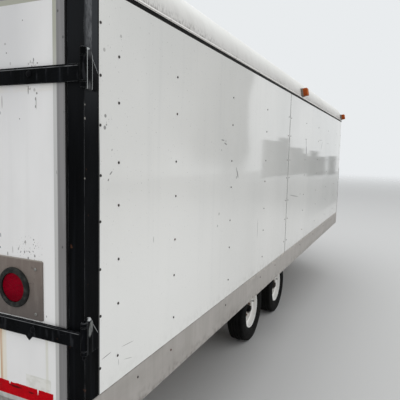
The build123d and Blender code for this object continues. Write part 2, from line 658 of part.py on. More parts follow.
def tyre(y):
    """Right tyre at one axle."""
    half, rim_half = TYRE_WIDTH / 2, RIM_WIDTH / 2
    bead_x, lip_radius = rim_half - BEAD_THICK, RIM_LIP_RADIUS + BEAD_GAP
    points = [(bead_x, BEAD_RADIUS + BEAD_GAP), (bead_x, lip_radius), (rim_half, lip_radius),
              (half, BULGE_RADIUS - BULGE_HEIGHT / 2),
              (half, BULGE_RADIUS + BULGE_HEIGHT / 2), (half - SHOULDER_IN, TYRE_RADIUS - SHOULDER_DROP),
              (TREAD_WIDTH / 2, TYRE_RADIUS - TREAD_CROWN), (TREAD_WIDTH / 4, TYRE_RADIUS)]
    return wheel_turned(mirrored_outline(points), y)


def rim(y):
    """Right rim at one axle: lips, bead seats, drop well and a dished disc."""
    half = RIM_WIDTH / 2
    seat_x, lip_x = half - BEAD_THICK, half - RIM_WALL
    well = BEAD_RADIUS - WELL_DEPTH
    slope_x = WELL_HALF - WELL_SLOPE
    outside = [(half, RIM_LIP_RADIUS), (lip_x, RIM_LIP_RADIUS), (seat_x, BEAD_RADIUS),
               (WELL_HALF, BEAD_RADIUS), (slope_x, well)]
    outside += [(-x, radius) for x, radius in reversed(outside)]
    inner_seat = BEAD_RADIUS - RIM_WALL
    inner_well = well - RIM_WALL
    inboard = [(-half, inner_seat), (-WELL_HALF - RIM_WALL, inner_seat), (-slope_x - RIM_WALL, inner_well),
               (-RIM_WALL, inner_well)]
    disc = [(DISC_X + DISC_DISH - RIM_WALL, DISC_RIM_RADIUS), (DISC_X - RIM_WALL, DISC_FLAT_RADIUS),
            (DISC_X - RIM_WALL, DISC_BORE), (DISC_X, DISC_BORE), (DISC_X, DISC_FLAT_RADIUS),
            (DISC_X + DISC_DISH, DISC_RIM_RADIUS)]
    outboard = [(slope_x + RIM_WALL, inner_well), (WELL_HALF + RIM_WALL, inner_seat), (half, inner_seat)]
    return wheel_turned(outside + inboard + disc + outboard, y)


def hub(y):
    """Right hub and brake drum at one axle, bored for the spindle."""
    bore = SPINDLE_RADIUS + HUB_CLEARANCE
    bore_end = SPINDLE_END_X - TYRE_X + HUB_CAP_GAP
    seat_x = DISC_X - RIM_WALL
    snout = DISC_BORE - HUB_SEAT
    drum_x = HUB_INNER_X + DRUM_WALL / 2
    points = [(HUB_INNER_X, bore), (bore_end, bore), (bore_end, 0), (bore_end + HUB_CAP_WALL, 0),
              (bore_end + HUB_CAP_WALL, HUB_CAP_RADIUS), (DISC_X + HUB_SEAT, snout), (seat_x, snout),
              (seat_x, HUB_FLANGE_RADIUS), (seat_x - HUB_CAP_WALL, DRUM_RADIUS), (drum_x, DRUM_RADIUS),
              (drum_x, DRUM_RADIUS - DRUM_WALL), (DRUM_FACE_X, DRUM_RADIUS - DRUM_WALL),
              (DRUM_FACE_X, HUB_RADIUS), (HUB_INNER_X, HUB_RADIUS)]
    return wheel_turned(points, y)


def wheels():
    """Four wheels, each a tyre, a rim with its disc, and a hub that turns on the spindle."""
    for place, y in (("rear", AXLE_Y[0]), ("front", AXLE_Y[1])):
        for name, shape in (("tyre", tyre(y)), ("rim", rim(y)), ("hub", hub(y))):
            save(f"wheel_right_{place}_{name}", shape)
            save(f"wheel_left_{place}_{name}", mirror(shape, about=Plane.YZ))


def tongue_inner_x(y):
    """Inner face of the tongue's right tube at a distance along the trailer."""
    end_x = TONGUE_END_X - FRAME_WIDTH / 2
    share = (y - frame_front_y) / (tongue_end_y - frame_front_y)
    return frame_inner_x + (end_x - frame_inner_x) * share


def coupler():
    """Coupler with the socket for the tow ball, its latch and lever."""
    rear_x, end_x = tongue_inner_x(coupler_rear_y), tongue_inner_x(tongue_end_y)
    right = [(rear_x, coupler_rear_y), (end_x, tongue_end_y), (end_x, ball_y)]
    z = (COUPLER_BOTTOM, COUPLER_TOP)
    body = upright(right + [(-x, y) for x, y in reversed(right)], z)
    body += upright_rod(0, ball_y, z, socket_radius + SOCKET_WALL)
    body = fillet(body.faces().sort_by(Axis.Z)[-1].edges(), COUPLER_ROUND)
    ball_z = COUPLER_BOTTOM + BALL_RADIUS
    body -= upright_rod(0, ball_y, (COUPLER_BOTTOM, ball_z), socket_radius)
    body -= Pos(0, ball_y, ball_z) * Sphere(socket_radius)
    latch_top = COUPLER_TOP + LATCH_HEIGHT
    body += block(span(0, LATCH_WIDTH), latch_y, (COUPLER_TOP - COUPLER_ROUND, latch_top))
    lever_start = (0, latch_y[0] + LATCH_HEIGHT, latch_top - LEVER_RADIUS)
    lever_end = (0, latch_y[0] - LEVER_LENGTH, latch_top + LEVER_RISE)
    body += rod(lever_start, lever_end, LEVER_RADIUS)
    save("coupler", body)


def jack():
    """Tongue jack: plate on the tubes, outer tube, leg, foot and crank."""
    corners = []
    for y in (jack_y - JACK_PLATE_BACK, chain_hole_y + CHAIN_HOLE_EDGE):
        corners.append((tongue_inner_x(y) + JACK_PLATE_LAP, y))
    plate_z = (RAIL_BOTTOM, RAIL_BOTTOM + JACK_PLATE_THICK)
    shape = upright(corners + [(-x, y) for x, y in reversed(corners)], plate_z)
    for side in (-1, 1):
        shape -= upright_rod(side * CHAIN_HOLE_X, chain_hole_y, plate_z, CHAIN_HOLE_RADIUS)
    shape += upright_rod(0, jack_y, (JACK_TUBE_BOTTOM, JACK_TOP), JACK_TUBE_RADIUS)
    shape += upright_rod(0, jack_y, (JACK_TOP - JACK_CAP_HEIGHT, JACK_TOP), JACK_CAP_RADIUS)
    shape += upright_rod(0, jack_y, (0, JACK_TUBE_BOTTOM), JACK_LEG_RADIUS)
    shape += upright_rod(0, jack_y, (0, JACK_FOOT_THICK), JACK_FOOT_RADIUS)
    crank_z = JACK_TOP - JACK_CAP_HEIGHT / 2
    shape += rod((0, jack_y, crank_z), (-CRANK_LENGTH, jack_y, crank_z), CRANK_RADIUS)
    shape += upright_rod(-CRANK_LENGTH, jack_y, (crank_z - CRANK_DROP, crank_z + CRANK_RADIUS), CRANK_RADIUS)
    grip_z = (crank_z - CRANK_DROP, crank_z - CRANK_DROP + GRIP_LENGTH)
    shape += upright_rod(-CRANK_LENGTH, jack_y, grip_z, GRIP_RADIUS)
    save("tongue_jack", shape)


os.makedirs("parts", exist_ok=True)
walls()
roof()
lower_body()
hinge_butts()
doors()
markers()
chassis()
axles()
springs()
wheels()
coupler()
jack()
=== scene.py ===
"""Looks of an enclosed snowmobile trailer: finishes, fasteners, tape, lamps, tyres and light, in metres."""

import math
import random

import bmesh
import bpy
from mathutils import Matrix, Vector


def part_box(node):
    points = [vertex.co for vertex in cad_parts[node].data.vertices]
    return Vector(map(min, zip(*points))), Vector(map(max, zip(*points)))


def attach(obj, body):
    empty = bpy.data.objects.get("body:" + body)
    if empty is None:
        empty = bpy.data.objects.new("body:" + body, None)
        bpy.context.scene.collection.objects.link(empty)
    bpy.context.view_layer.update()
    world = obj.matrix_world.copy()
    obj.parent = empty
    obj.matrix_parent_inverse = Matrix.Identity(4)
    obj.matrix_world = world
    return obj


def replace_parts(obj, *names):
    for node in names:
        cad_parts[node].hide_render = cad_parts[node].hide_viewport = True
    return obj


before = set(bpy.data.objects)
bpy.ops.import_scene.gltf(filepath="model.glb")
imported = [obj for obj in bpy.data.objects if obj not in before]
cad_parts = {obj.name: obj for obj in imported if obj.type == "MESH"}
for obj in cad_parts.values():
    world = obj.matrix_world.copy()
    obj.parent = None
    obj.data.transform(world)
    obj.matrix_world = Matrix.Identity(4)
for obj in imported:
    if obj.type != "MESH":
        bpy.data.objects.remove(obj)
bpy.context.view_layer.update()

# Camera, fitted to the photograph
CAMERA_PLACE = (2.115, -4.7056, 1.593)
CAMERA_YAW, CAMERA_PITCH, CAMERA_ROLL = 0.4283, -0.104, -0.0241
FOCAL_PIXELS = 445.32
PHOTO_WIDTH = 400
SENSOR_WIDTH = 36
FAR_CLIP = 500

# Light and stage
SKY_COLOUR = (0.97, 0.985, 1, 1)
SKY_STRENGTH = 0.88
BACKDROP = (233, 236, 238)
FLOOR_COLOUR = (200, 200, 199)
FLOOR_RADIUS = 60
# The floor is gone at the first of these distances and whole at the second
FLOOR_FADE = (42, 14)
OVERHEAD_SIZE = 16
OVERHEAD_PLACE = (1.5, 0, 9)
OVERHEAD_POWER = 420
COAT_ROUGHNESS = 0.05
# Grey flags far off to the right, which only glossy faces see: distance to the right, start, end and height
FLAGS = ((7.86, 5, 20, 7.5), (9.3, 24.6, 28.8, 2.64), (9.01, 27.7, 31, 2.94), (8.74, 30.1, 35.2, 2.27),
         (8.74, 35.2, 37.2, 1.8), (7.24, 29.6, 34, 1.57), (7.24, 30.5, 34, 2.02), (6.91, 32, 36, 1.57),
         (6.33, 33.8, 38.2, 1.64))
FLAG_COLOUR = (84, 88, 88)
# A flag that lies on the floor, from its near to its far end: distance to the right and along
GROUND_FLAG = ((2.6, 4), (14, 46))
GROUND_FLAG_HEIGHT, GROUND_FLAG_STRENGTH = 0.01, 0.4
# Where flags fade in or out: the tall one along and up from its foot, and the far ones along
TALL_IN, TALL_OUT, TALL_RISE, FAR_IN = (5, 12), (17.6, 17), (0, 2.2), (21, 22)

# Places read from the frame
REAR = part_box("rear_posts")[0].y
WALL_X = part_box("side_panels_rear")[1].x
WALL_FOOT, WALL_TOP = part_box("side_panels_rear")[0].z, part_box("side_panels_rear")[1].z
SEAM_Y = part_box("side_panels_rear")[1].y
CORNER_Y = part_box("side_panels_front")[1].y
RAIL_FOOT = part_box("side_rails")[0].z
DOOR_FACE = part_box("door_right_frame")[0].y
PANEL_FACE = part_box("door_right_panel")[0].y
PLATE_LOW, PLATE_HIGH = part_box("door_right_lamp_plate")
LAMP = sum(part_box("door_right_lamp_lens"), Vector()) / 2
SIDES = (("right", 1), ("left", -1))
ENDS = ("rear", "front")
AXLE_YS = {end: sum(corner.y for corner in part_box(f"wheel_right_{end}_tyre")) / 2 for end in ENDS}
AXLE_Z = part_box("wheel_right_rear_tyre")[1].z / 2

# Door straps: how thick, and the heights of their top edges and bolts
STRAP_THICK = 0.008
STRAP_TOPS = (1.065, 1.831)
STRAP_BOLT_HEIGHTS = (1.04, 1.811)
STRAP_BOLT_XS = (1.105, 0.95, 0.795)
# Hinge butts: foot and top of the bar, then of each ear
HINGE_BUTTS = ((0.994, 1.106, ((1.002, 1.0145), (1.088, 1.1))),
               (1.764, 1.876, ((1.764, 1.7805), (1.85, 1.872))))

# Screw rows on the side sheets, from the rear face and above the ground
EDGE_SCREW_Y = 0.073
EDGE_SCREW_HEIGHTS = (1.96, 1.812, 1.669, 1.522, 1.381, 1.234, 1.088, 0.921)
ROW_HEIGHTS = (1.883, 1.743, 1.558, 1.423, 1.247, 1.102, 0.926)
FIRST_ROW_Y = 0.166
STUD_FIRST_Y, STUD_SPACING, STUD_COUNT = 0.555, 0.621, 8
SEAM_SCREW_OFFSET = 0.04
CORNER_SCREW_OFFSET = 0.03
RAIL_SCREW_HEIGHT = 0.793
RAIL_SCREW_YS = (0.291, 0.538, 1.149, 1.772, 2.142, 2.992, 3.615, 4.24, 4.86)
SCREW_RADIUS, SCREW_RISE = 0.0046, 0.0026
NOSE_SCREW_HEIGHTS = (1.56, 1.72, 1.88, 2.02)
GUARD_SCREW_COUNT, NOSE_STUD_COUNT = 12, 5
GUARD_THICK = 0.0042


def linear(colour):
    """An 8-bit sRGB colour as the linear colour that a shader takes."""
    shares = [value / 255 for value in colour]
    return (*[s / 12.92 if s <= 0.04045 else ((s + 0.055) / 1.055) ** 2.4 for s in shares], 1)


class Value:
    """A number at each point of a surface. Arithmetic with it adds nodes to its finish."""

    def __init__(self, finish, socket):
        self.finish = finish
        self.socket = socket

    def step(self, operation, other=0):
        return self.finish.add("Math", {0: self, 1: other}, operation=operation)

    def __add__(self, other):
        return self.step("ADD", other)

    def __sub__(self, other):
        return self.step("SUBTRACT", other)

    def __mul__(self, other):
        return self.step("MULTIPLY", other)

    def __abs__(self):
        return self.step("ABSOLUTE")

    def ramp(self, start, end):
        """Rises smoothly from 0 where the value is start to 1 where it is end."""
        inputs = {"Value": self, "From Min": start, "From Max": end}
        return self.finish.add("MapRange", inputs, "Result", interpolation_type="SMOOTHSTEP")

    def band(self, low, high, soft):
        """1 between low and high, fading to 0 over soft outside them."""
        return self.ramp(low - soft, low) * self.ramp(high + soft, high)


def either(first, *others):
    """The highest of several masks."""
    for other in others:
        first = first.step("MAXIMUM", other)
    return first


def distance(first, second):
    """Length of the way that two values span."""
    return (first * first + second * second).step("SQRT")


class Finish:
    """One procedural material. Its nodes read object coordinates, which are metres in the row frame."""

    def __init__(self, name, colour, roughness, metallic=0, specular=0.5, coat=0):
        self.material = bpy.data.materials.new(name)
        self.material.use_nodes = True
        self.tree = self.material.node_tree
        self.shader = self.tree.nodes["Principled BSDF"].inputs
        self.place = self.add("TexCoord", output="Object")
        self.x, self.y, self.z = self.split(self.place)
        self.colour = linear(colour)
        self.roughness = roughness
        self.normal = None
        self.shader["Metallic"].default_value = metallic
        self.shader["Specular IOR Level"].default_value = specular
        self.shader["Coat Weight"].default_value = coat
        self.shader["Coat Roughness"].default_value = COAT_ROUGHNESS

    def add(self, kind, inputs=None, output=0, **settings):
        """The output of a new node, whose inputs are numbers or other values."""
        node = self.tree.nodes.new("ShaderNode" + kind)
        for key, value in settings.items():
            setattr(node, key, value)
        for key, value in (inputs or {}).items():
            self.feed(node.inputs[key], value)
        return Value(self, node.outputs[output])

    def feed(self, socket, value):
        if isinstance(value, Value):
            self.tree.links.new(value.socket, socket)
        else:
            socket.default_value = value

    def split(self, place):
        """The x, y and z of a place."""
        node = self.add("SeparateXYZ", {"Vector": place}).socket.node
        return [Value(self, socket) for socket in node.outputs]

    def noise(self, repeats, detail, seed, warp=0, output="Fac"):
        """Cloudy noise between 0 and 1; repeats a metre are one number or one each for x, y and z."""
        scale = repeats if isinstance(repeats, tuple) else (repeats,) * 3
        moved = self.add("Mapping", {"Vector": self.place, "Location": (seed,) * 3, "Scale": scale})
        inputs = {"Vector": moved, "Scale": 1, "Detail": detail, "Distortion": warp}
        return self.add("TexNoise", inputs, output)

    def patches(self, repeats, share, soft, seed, detail=4):
        """Irregular patches that cover about that share of the surface."""
        level = 0.5 + 0.52 * (0.5 - share)
        return self.noise(repeats, detail, seed).ramp(level - soft, level + soft)

    def ragged(self, repeats, reach, seed=0):
        """The place, pushed about by noise, so that masks made from it have uneven edges."""
        push = {0: self.noise(repeats, 4, seed, output="Color"), 1: (0.5, 0.5, 0.5)}
        push = {0: self.add("VectorMath", push, operation="SUBTRACT"), "Scale": 2 * reach}
        push = {0: self.add("VectorMath", push, operation="SCALE"), 1: self.place}
        return self.add("VectorMath", push, operation="ADD")

    def spot(self, centre, radii, turn=0, place=None):
        """1 inside an ellipsoid that is turned about x, fading towards its edge."""
        inputs = {"Vector": place or self.place, "Location": centre, "Rotation": (turn, 0, 0), "Scale": radii}
        local = self.add("Mapping", inputs, vector_type="TEXTURE")
        return self.add("VectorMath", {0: local}, "Value", operation="LENGTH").ramp(1, 0.6)

    def edges(self, radius):
        """1 along sharp edges, found from the normal of a small bevel."""
        bevel = self.add("Bevel", {"Radius": radius}, samples=4)
        normals = {0: bevel, 1: self.add("NewGeometry", output="Normal")}
        return self.add("VectorMath", normals, "Value", operation="DOT_PRODUCT").ramp(0.995, 0.86)

    def lay(self, colour, mask, strength=1):
        """Lays a colour over what is there, where mask is 1."""
        inputs = {0: mask * strength, 6: self.colour, 7: linear(colour)}
        self.colour = self.add("Mix", inputs, 2, data_type="RGBA")

    def mottle(self, colour, repeats, share, soft, seed, strength=1, detail=4, where=None):
        """Lays a colour in patches, all over or where a mask is 1."""
        mask = self.patches(repeats, share, soft, seed, detail)
        self.lay(colour, mask * where if where else mask, strength)

    def dull(self, roughness, mask):
        """Moves the roughness to a value where mask is 1."""
        inputs = {"Value": mask, "To Min": self.roughness, "To Max": roughness}
        self.roughness = self.add("MapRange", inputs, "Result")

    def relief(self, height, depth):
        """Bump from a height between 0 and 1, depth metres deep."""
        inputs = {"Height": height, "Distance": depth}
        if self.normal:
            inputs["Normal"] = self.normal
        self.normal = self.add("Bump", inputs, "Normal")

    def bumps(self, repeats, detail, seed, depth):
        self.relief(self.noise(repeats, detail, seed), depth)

    def done(self, *nodes):
        """Feeds the shader, gives CAD nodes this finish and returns its material."""
        self.feed(self.shader["Base Color"], self.colour)
        self.feed(self.shader["Roughness"], self.roughness)
        if self.normal:
            self.feed(self.shader["Normal"], self.normal)
        for name in nodes:
            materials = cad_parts[name].data.materials
            materials.clear()
            materials.append(self.material)
        return self.material


def linked(name, data):
    """A new object in the scene."""
    made = bpy.data.objects.new(name, data)
    bpy.context.scene.collection.objects.link(made)
    return made


def meshed(name, bm, material):
    """A new object from a bmesh, with its material."""
    mesh = bpy.data.meshes.new(name)
    bm.to_mesh(mesh)
    bm.free()
    mesh.materials.append(material)
    return linked(name, mesh)


def make_camera():
    """The photograph's camera."""
    camera = linked("camera", bpy.data.cameras.new("camera"))
    turn = (Matrix.Rotation(CAMERA_YAW, 4, "Z") @ Matrix.Rotation(CAMERA_PITCH, 4, "X")
            @ Matrix.Rotation(CAMERA_ROLL, 4, "Y"))
    camera.matrix_world = Matrix.Translation(CAMERA_PLACE) @ turn @ Matrix.Rotation(math.pi / 2, 4, "X")
    camera.data.sensor_width = SENSOR_WIDTH
    camera.data.lens = FOCAL_PIXELS / PHOTO_WIDTH * SENSOR_WIDTH
    camera.data.clip_end = FAR_CLIP
    bpy.context.scene.camera = camera


def make_world():
    """Even light from all round; the camera, mirrors and glass see the backdrop's colour instead."""
    world = bpy.data.worlds.new("studio")
    bpy.context.scene.world = world
    world.use_nodes = True
    nodes, links = world.node_tree.nodes, world.node_tree.links
    light, backdrop = nodes["Background"], nodes.new("ShaderNodeBackground")
    for shader, colour, strength in ((light, SKY_COLOUR, SKY_STRENGTH), (backdrop, linear(BACKDROP), 1)):
        shader.inputs["Color"].default_value = colour
        shader.inputs["Strength"].default_value = strength
    path, mix = nodes.new("ShaderNodeLightPath"), nodes.new("ShaderNodeMixShader")
    seen = path.outputs["Is Camera Ray"]
    for ray in ("Is Glossy Ray", "Is Transmission Ray"):
        more = nodes.new("ShaderNodeMath")
        more.operation = "MAXIMUM"
        links.new(seen, more.inputs[0])
        links.new(path.outputs[ray], more.inputs[1])
        seen = more.outputs[0]
    for k, socket in enumerate((seen, light.outputs[0], backdrop.outputs[0])):
        links.new(socket, mix.inputs[k])
    links.new(mix.outputs[0], nodes["World Output"].inputs["Surface"])


def make_lamp():
    """One large soft lamp above the trailer."""
    lamp = bpy.data.lights.new("overhead", "AREA")
    lamp.size = OVERHEAD_SIZE
    lamp.energy = OVERHEAD_POWER
    linked("overhead", lamp).location = OVERHEAD_PLACE


def make_floor():
    """A plain pale floor that fades into the backdrop far from the trailer."""
    bm = bmesh.new()
    bmesh.ops.create_circle(bm, cap_ends=True, segments=96, radius=FLOOR_RADIUS)
    paint = Finish("floor", FLOOR_COLOUR, 0.85, specular=0.2)
    reach = paint.add("VectorMath", {0: paint.place}, "Value", operation="LENGTH")
    paint.feed(paint.shader["Alpha"], reach.ramp(*FLOOR_FADE))
    meshed("floor", bm, paint.done())


def make_flags():
    """Flags that darken what the glossy paint mirrors; the camera, the floor and the lamps miss them."""
    bm = bmesh.new()
    quads = [((x, start, 0), (x, end, 0), (x, end, height), (x, start, height))
             for x, start, end, height in FLAGS]
    (near_x, near_y), (far_x, far_y) = GROUND_FLAG
    quads.append([(x, y, GROUND_FLAG_HEIGHT)
                  for x, y in ((near_x, near_y), (far_x, near_y), (far_x, far_y), (near_x, far_y))])
    for quad in quads:
        bm.faces.new([bm.verts.new(corner) for corner in quad])
    paint = Finish("flag", FLAG_COLOUR, 0.9, specular=0)
    _, torn_y, torn_z = paint.split(paint.ragged(0.35, 2))
    tall = torn_y.ramp(*TALL_IN) * torn_y.ramp(*TALL_OUT) * torn_z.ramp(*TALL_RISE)
    on_floor = paint.z.ramp(3 * GROUND_FLAG_HEIGHT, 2 * GROUND_FLAG_HEIGHT)
    ground = on_floor * paint.y.ramp(*TALL_IN) * GROUND_FLAG_STRENGTH
    far = paint.y.ramp(*FAR_IN) * paint.z.ramp(2 * GROUND_FLAG_HEIGHT, 3 * GROUND_FLAG_HEIGHT)
    paint.feed(paint.shader["Alpha"], either(tall, ground, far))
    flags = meshed("flags", bm, paint.done())
    flags.visible_camera = False
    flags.visible_diffuse = False
    flags.visible_shadow = False


def facing(place, outward, turn=0):
    """A local frame at a place, its z axis pointing outward."""
    look = Vector(outward).to_track_quat("Z", "Y").to_matrix().to_4x4()
    return Matrix.Translation(place) @ look @ Matrix.Rotation(turn, 4, "Z")


def bridge(bm, first, second):
    """Faces between two rings of points; a ring of one point closes the end."""
    for k in range(max(len(first), len(second))):
        corners = (first[k % len(first)], first[(k + 1) % len(first)],
                   second[(k + 1) % len(second)], second[k % len(second)])
        bm.faces.new(tuple(dict.fromkeys(corners)))


def turned(bm, profile, local, sides):
    """Turns (radius, height) points about the local z axis; a radius of 0 closes to a point."""
    rings = []
    for radius, height in profile:
        angles = [math.tau * k / sides for k in range(sides if radius else 1)]
        rings.append([bm.verts.new(local @ Vector((radius * math.cos(a), radius * math.sin(a), height)))
                      for a in angles])
    for lower, upper in zip(rings, rings[1:]):
        bridge(bm, lower, upper)


def pan_head(bm, local, radius=SCREW_RADIUS, rise=SCREW_RISE):
    """A low domed screw head with a shallow drive hole."""
    shape = ((0, 0), (1, 0), (1, 0.35), (0.86, 0.75), (0.5, 1), (0.3, 1), (0.22, 0.45), (0, 0.45))
    turned(bm, [(radius * out, rise * up) for out, up in shape], local, 10)


def hex_bolt(bm, local, across, rise, washer=1.45):
    """A six-sided head or nut with a chamfered top on a round washer."""
    radius = across / math.sqrt(3)
    flat = 0.12 * across
    turned(bm, ((0, 0), (washer * across / 2, 0), (washer * across / 2, flat), (0, flat)), local, 20)
    turned(bm, ((0, flat), (radius, flat), (radius, 0.8 * rise), (0.86 * radius, rise), (0, rise)), local, 6)


def prism(bm, points, push, bevel=0):
    """A plate with an outline of points, pushed out to its thickness, with bevelled edges."""
    foot, top = ([bm.verts.new(Vector(p) + shift) for p in points] for shift in (Vector(), Vector(push)))
    bm.faces.new(foot)
    bm.faces.new(top)
    bridge(bm, foot, top)
    if bevel:
        faces = {face for vert in foot + top for face in vert.link_faces}
        bmesh.ops.recalc_face_normals(bm, faces=list(faces))
        edges = {edge for face in faces for edge in face.edges}
        bmesh.ops.bevel(bm, geom=list(edges), offset=bevel, segments=2, affect="EDGES", profile=0.5)


def bar(bm, points, radii, sides=6, closed=False):
    """A round bar along points, with a radius for each."""
    points = [Vector(p) for p in points]
    count = len(points)
    rings = []
    side_way = None
    for k, (point, radius) in enumerate(zip(points, radii)):
        before = points[k - 1] if k or closed else point
        after = points[(k + 1) % count] if k + 1 < count or closed else point
        ahead = (after - before).normalized()
        if side_way is None:
            side_way = ahead.orthogonal()
        side_way = (side_way - ahead * side_way.dot(ahead)).normalized()
        up_way = ahead.cross(side_way)
        rings.append([bm.verts.new(point + radius * (math.cos(a) * side_way + math.sin(a) * up_way))
                      for a in (math.tau * s / sides for s in range(sides))])
    for first, second in zip(rings, rings[1:] + rings[:1] if closed else rings[1:]):
        bridge(bm, first, second)
    if not closed:
        bm.faces.new(rings[0])
        bm.faces.new(rings[-1])


def weld(bm, start, end, radius, rng):
    """An uneven weld bead between two places."""
    start, end = Vector(start), Vector(end)
    count = max(4, int((end - start).length / (1.2 * radius)))
    points = [start.lerp(end, k / count) for k in range(count + 1)]
    bar(bm, points, [radius * (rng.uniform(0.75, 1.1) if 0 < k < count else 0.4) for k in range(count + 1)])


def piece(name, bm, material, body, smooth_angle=40):
    """Makes the mesh an object with the given material, shaded smooth, that rides on a CAD body."""
    bmesh.ops.recalc_face_normals(bm, faces=bm.faces)
    made = meshed(name, bm, material)
    made.data.shade_smooth()
    made.data.set_sharp_from_angle(angle=math.radians(smooth_angle))
    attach(made, body)
    return made


# Marks on the right side sheets, seen from the right: distance from the rear face and height of both
# ends, then half the width
SCRATCHES = (
    (0.117, 1.52, 0.134, 1.533, 0.003), (0.109, 1.502, 0.116, 1.51, 0.0036),
    (1.018, 1.662, 1.068, 1.66, 0.0034), (1.084, 1.664, 1.086, 1.65, 0.004),
    (1.059, 1.649, 1.104, 1.639, 0.0046), (1.248, 1.528, 1.262, 1.492, 0.005),
    (1.256, 1.512, 1.284, 1.462, 0.0085), (1.674, 1.21, 1.673, 1.05, 0.0036),
    (0.388, 1.289, 0.388, 1.261, 0.0018), (3.067, 1.692, 3.092, 1.6, 0.03),
    (0.17, 0.912, 0.171, 0.886, 0.0012), (0.076, 0.946, 0.134, 0.951, 0.0018),
)
FAINT_SCRATCHES = (
    (0.18, 0.946, 0.267, 0.938, 0.0018), (0.196, 0.897, 0.26, 0.88, 0.0014),
    (2.474, 1.285, 2.86, 1.239, 0.006), (3.048, 1.752, 3.072, 1.675, 0.02),
    (3.648, 1.757, 3.93, 1.765, 0.005), (3.925, 1.757, 3.836, 1.655, 0.018),
)
# Smudges: distance from the rear face, height and radius
SMUDGES = ((0.097, 1.698, 0.0065), (0.094, 1.663, 0.0075), (0.102, 1.672, 0.004))
FAINT_SMUDGES = (
    (0.175, 1.946, 0.006), (0.091, 1.888, 0.007), (0.13, 1.597, 0.004), (1.254, 1.47, 0.01),
    (2.9, 1.262, 0.012), (1.02, 1.298, 0.009), (1.005, 1.24, 0.008), (1.03, 1.612, 0.006),
)
POST_CHIPS = ((0.003, 1.721, 0.0024), (0.003, 1.683, 0.0034), (0.002, 1.515, 0.0026))
LEFT_SCRATCH_COUNT = 7
LINING_DEPTH = 0.012


def scratch_mask(paint, side, ends):
    """A thin mark between two points of a side sheet."""
    near, near_height, far, far_height, half_width = ends
    along, rise = far - near, far_height - near_height
    if rise < 0:
        along, rise = -along, -rise
    centre = (side * WALL_X, REAR + (near + far) / 2, (near_height + far_height) / 2)
    return paint.spot(centre, (0.05, half_width, math.hypot(along, rise) / 2), math.atan2(-along, rise))


def side_marks(paint, scratches, smudges):
    """Masks of the marks on the right side."""
    return ([scratch_mask(paint, 1, ends) for ends in scratches]
            + [paint.spot((WALL_X, REAR + y, z), (0.05, r, r)) for y, z, r in smudges])


def line_inside(paint, inner):
    """Plywood lining on the inner face of a wall, where inner is 1."""
    paint.lay((178, 150, 112), inner)
    paint.lay((140, 108, 74), inner * paint.noise((30, 30, 2), 5, 3, 0.6).ramp(0.48, 0.7), 0.55)
    paint.dull(0.62, inner)


def weather_skin(paint):
    """Grime that every white sheet has: faint runs, cloudy film, dirt towards the foot and soft dents."""
    paint.mottle((190, 191, 188), (0.9, 0.9, 0.6), 0.45, 0.16, 2, 0.35)
    paint.mottle((176, 178, 178), (26, 26, 0.8), 0.22, 0.14, 5, 0.09)
    foot = paint.z.ramp(WALL_FOOT + 0.075, WALL_FOOT)
    paint.mottle((142, 137, 128), (34, 34, 26), 0.4, 0.12, 7, 0.24, where=foot)
    paint.mottle((120, 118, 112), (160, 160, 120), 0.02, 0.02, 9, 0.5, 1)
    paint.dull(0.48, paint.noise((3, 3, 1.2), 4, 11).ramp(0.42, 0.66))
    paint.bumps((1.3, 1.3, 0.9), 1, 13, 0.012)
    paint.bumps(90, 2, 15, 0.00025)


def side_skin():
    """White painted sheet of both sides, with the marks of the right one where the photograph has them."""
    paint = Finish("skin_white_sides", (229, 228, 224), 0.34, specular=0.2, coat=1)
    along = paint.y - REAR
    weather_skin(paint)
    # Painted light: the lower rear of the sheets is painted lighter, as light from the floor brightens them.
    paint.lay((246, 246, 243), paint.z.ramp(1.6, 1.05) * along.ramp(1.6, 0.3), 0.6)
    paint.relief(paint.noise((1, 4.5, 0.5), 1, 21) * along.ramp(4, 4.7), 0.01)
    paint.lay((136, 134, 130), either(*side_marks(paint, FAINT_SCRATCHES, FAINT_SMUDGES)), 0.6)
    marks = side_marks(paint, SCRATCHES, SMUDGES)
    rng = random.Random(5)
    for _ in range(LEFT_SCRATCH_COUNT):
        y, z = rng.uniform(0.2, 5), rng.uniform(0.95, 1.9)
        lean, drop = rng.uniform(-0.06, 0.06), rng.uniform(0.02, 0.14)
        marks.append(scratch_mask(paint, -1, (y, z, y + lean, z - drop, rng.uniform(0.002, 0.006))))
    paint.lay((70, 68, 66), either(*marks), 0.72)
    gap = along.band(0.0655, 0.0705, 0.0005) * paint.z.ramp(1.75, 1.55)
    paint.lay((34, 34, 35), gap, 0.85)
    line_inside(paint, abs(paint.x).ramp(WALL_X - LINING_DEPTH + 0.002, WALL_X - LINING_DEPTH))
    paint.done("side_panels_rear", "side_panels_front")


def nose_skin():
    """White sheets of the two slanted nose walls, with stone chips."""
    paint = Finish("skin_white_nose", (224, 225, 224), 0.32)
    weather_skin(paint)
    paint.mottle((96, 92, 88), 60, 0.06, 0.03, 23, 0.7, 2, paint.z.ramp(1.9, 1.4))
    inside = WALL_X + CORNER_Y - LINING_DEPTH * math.sqrt(2)
    line_inside(paint, (abs(paint.x) + paint.y).ramp(inside + 0.002, inside))
    paint.done("nose_panels")


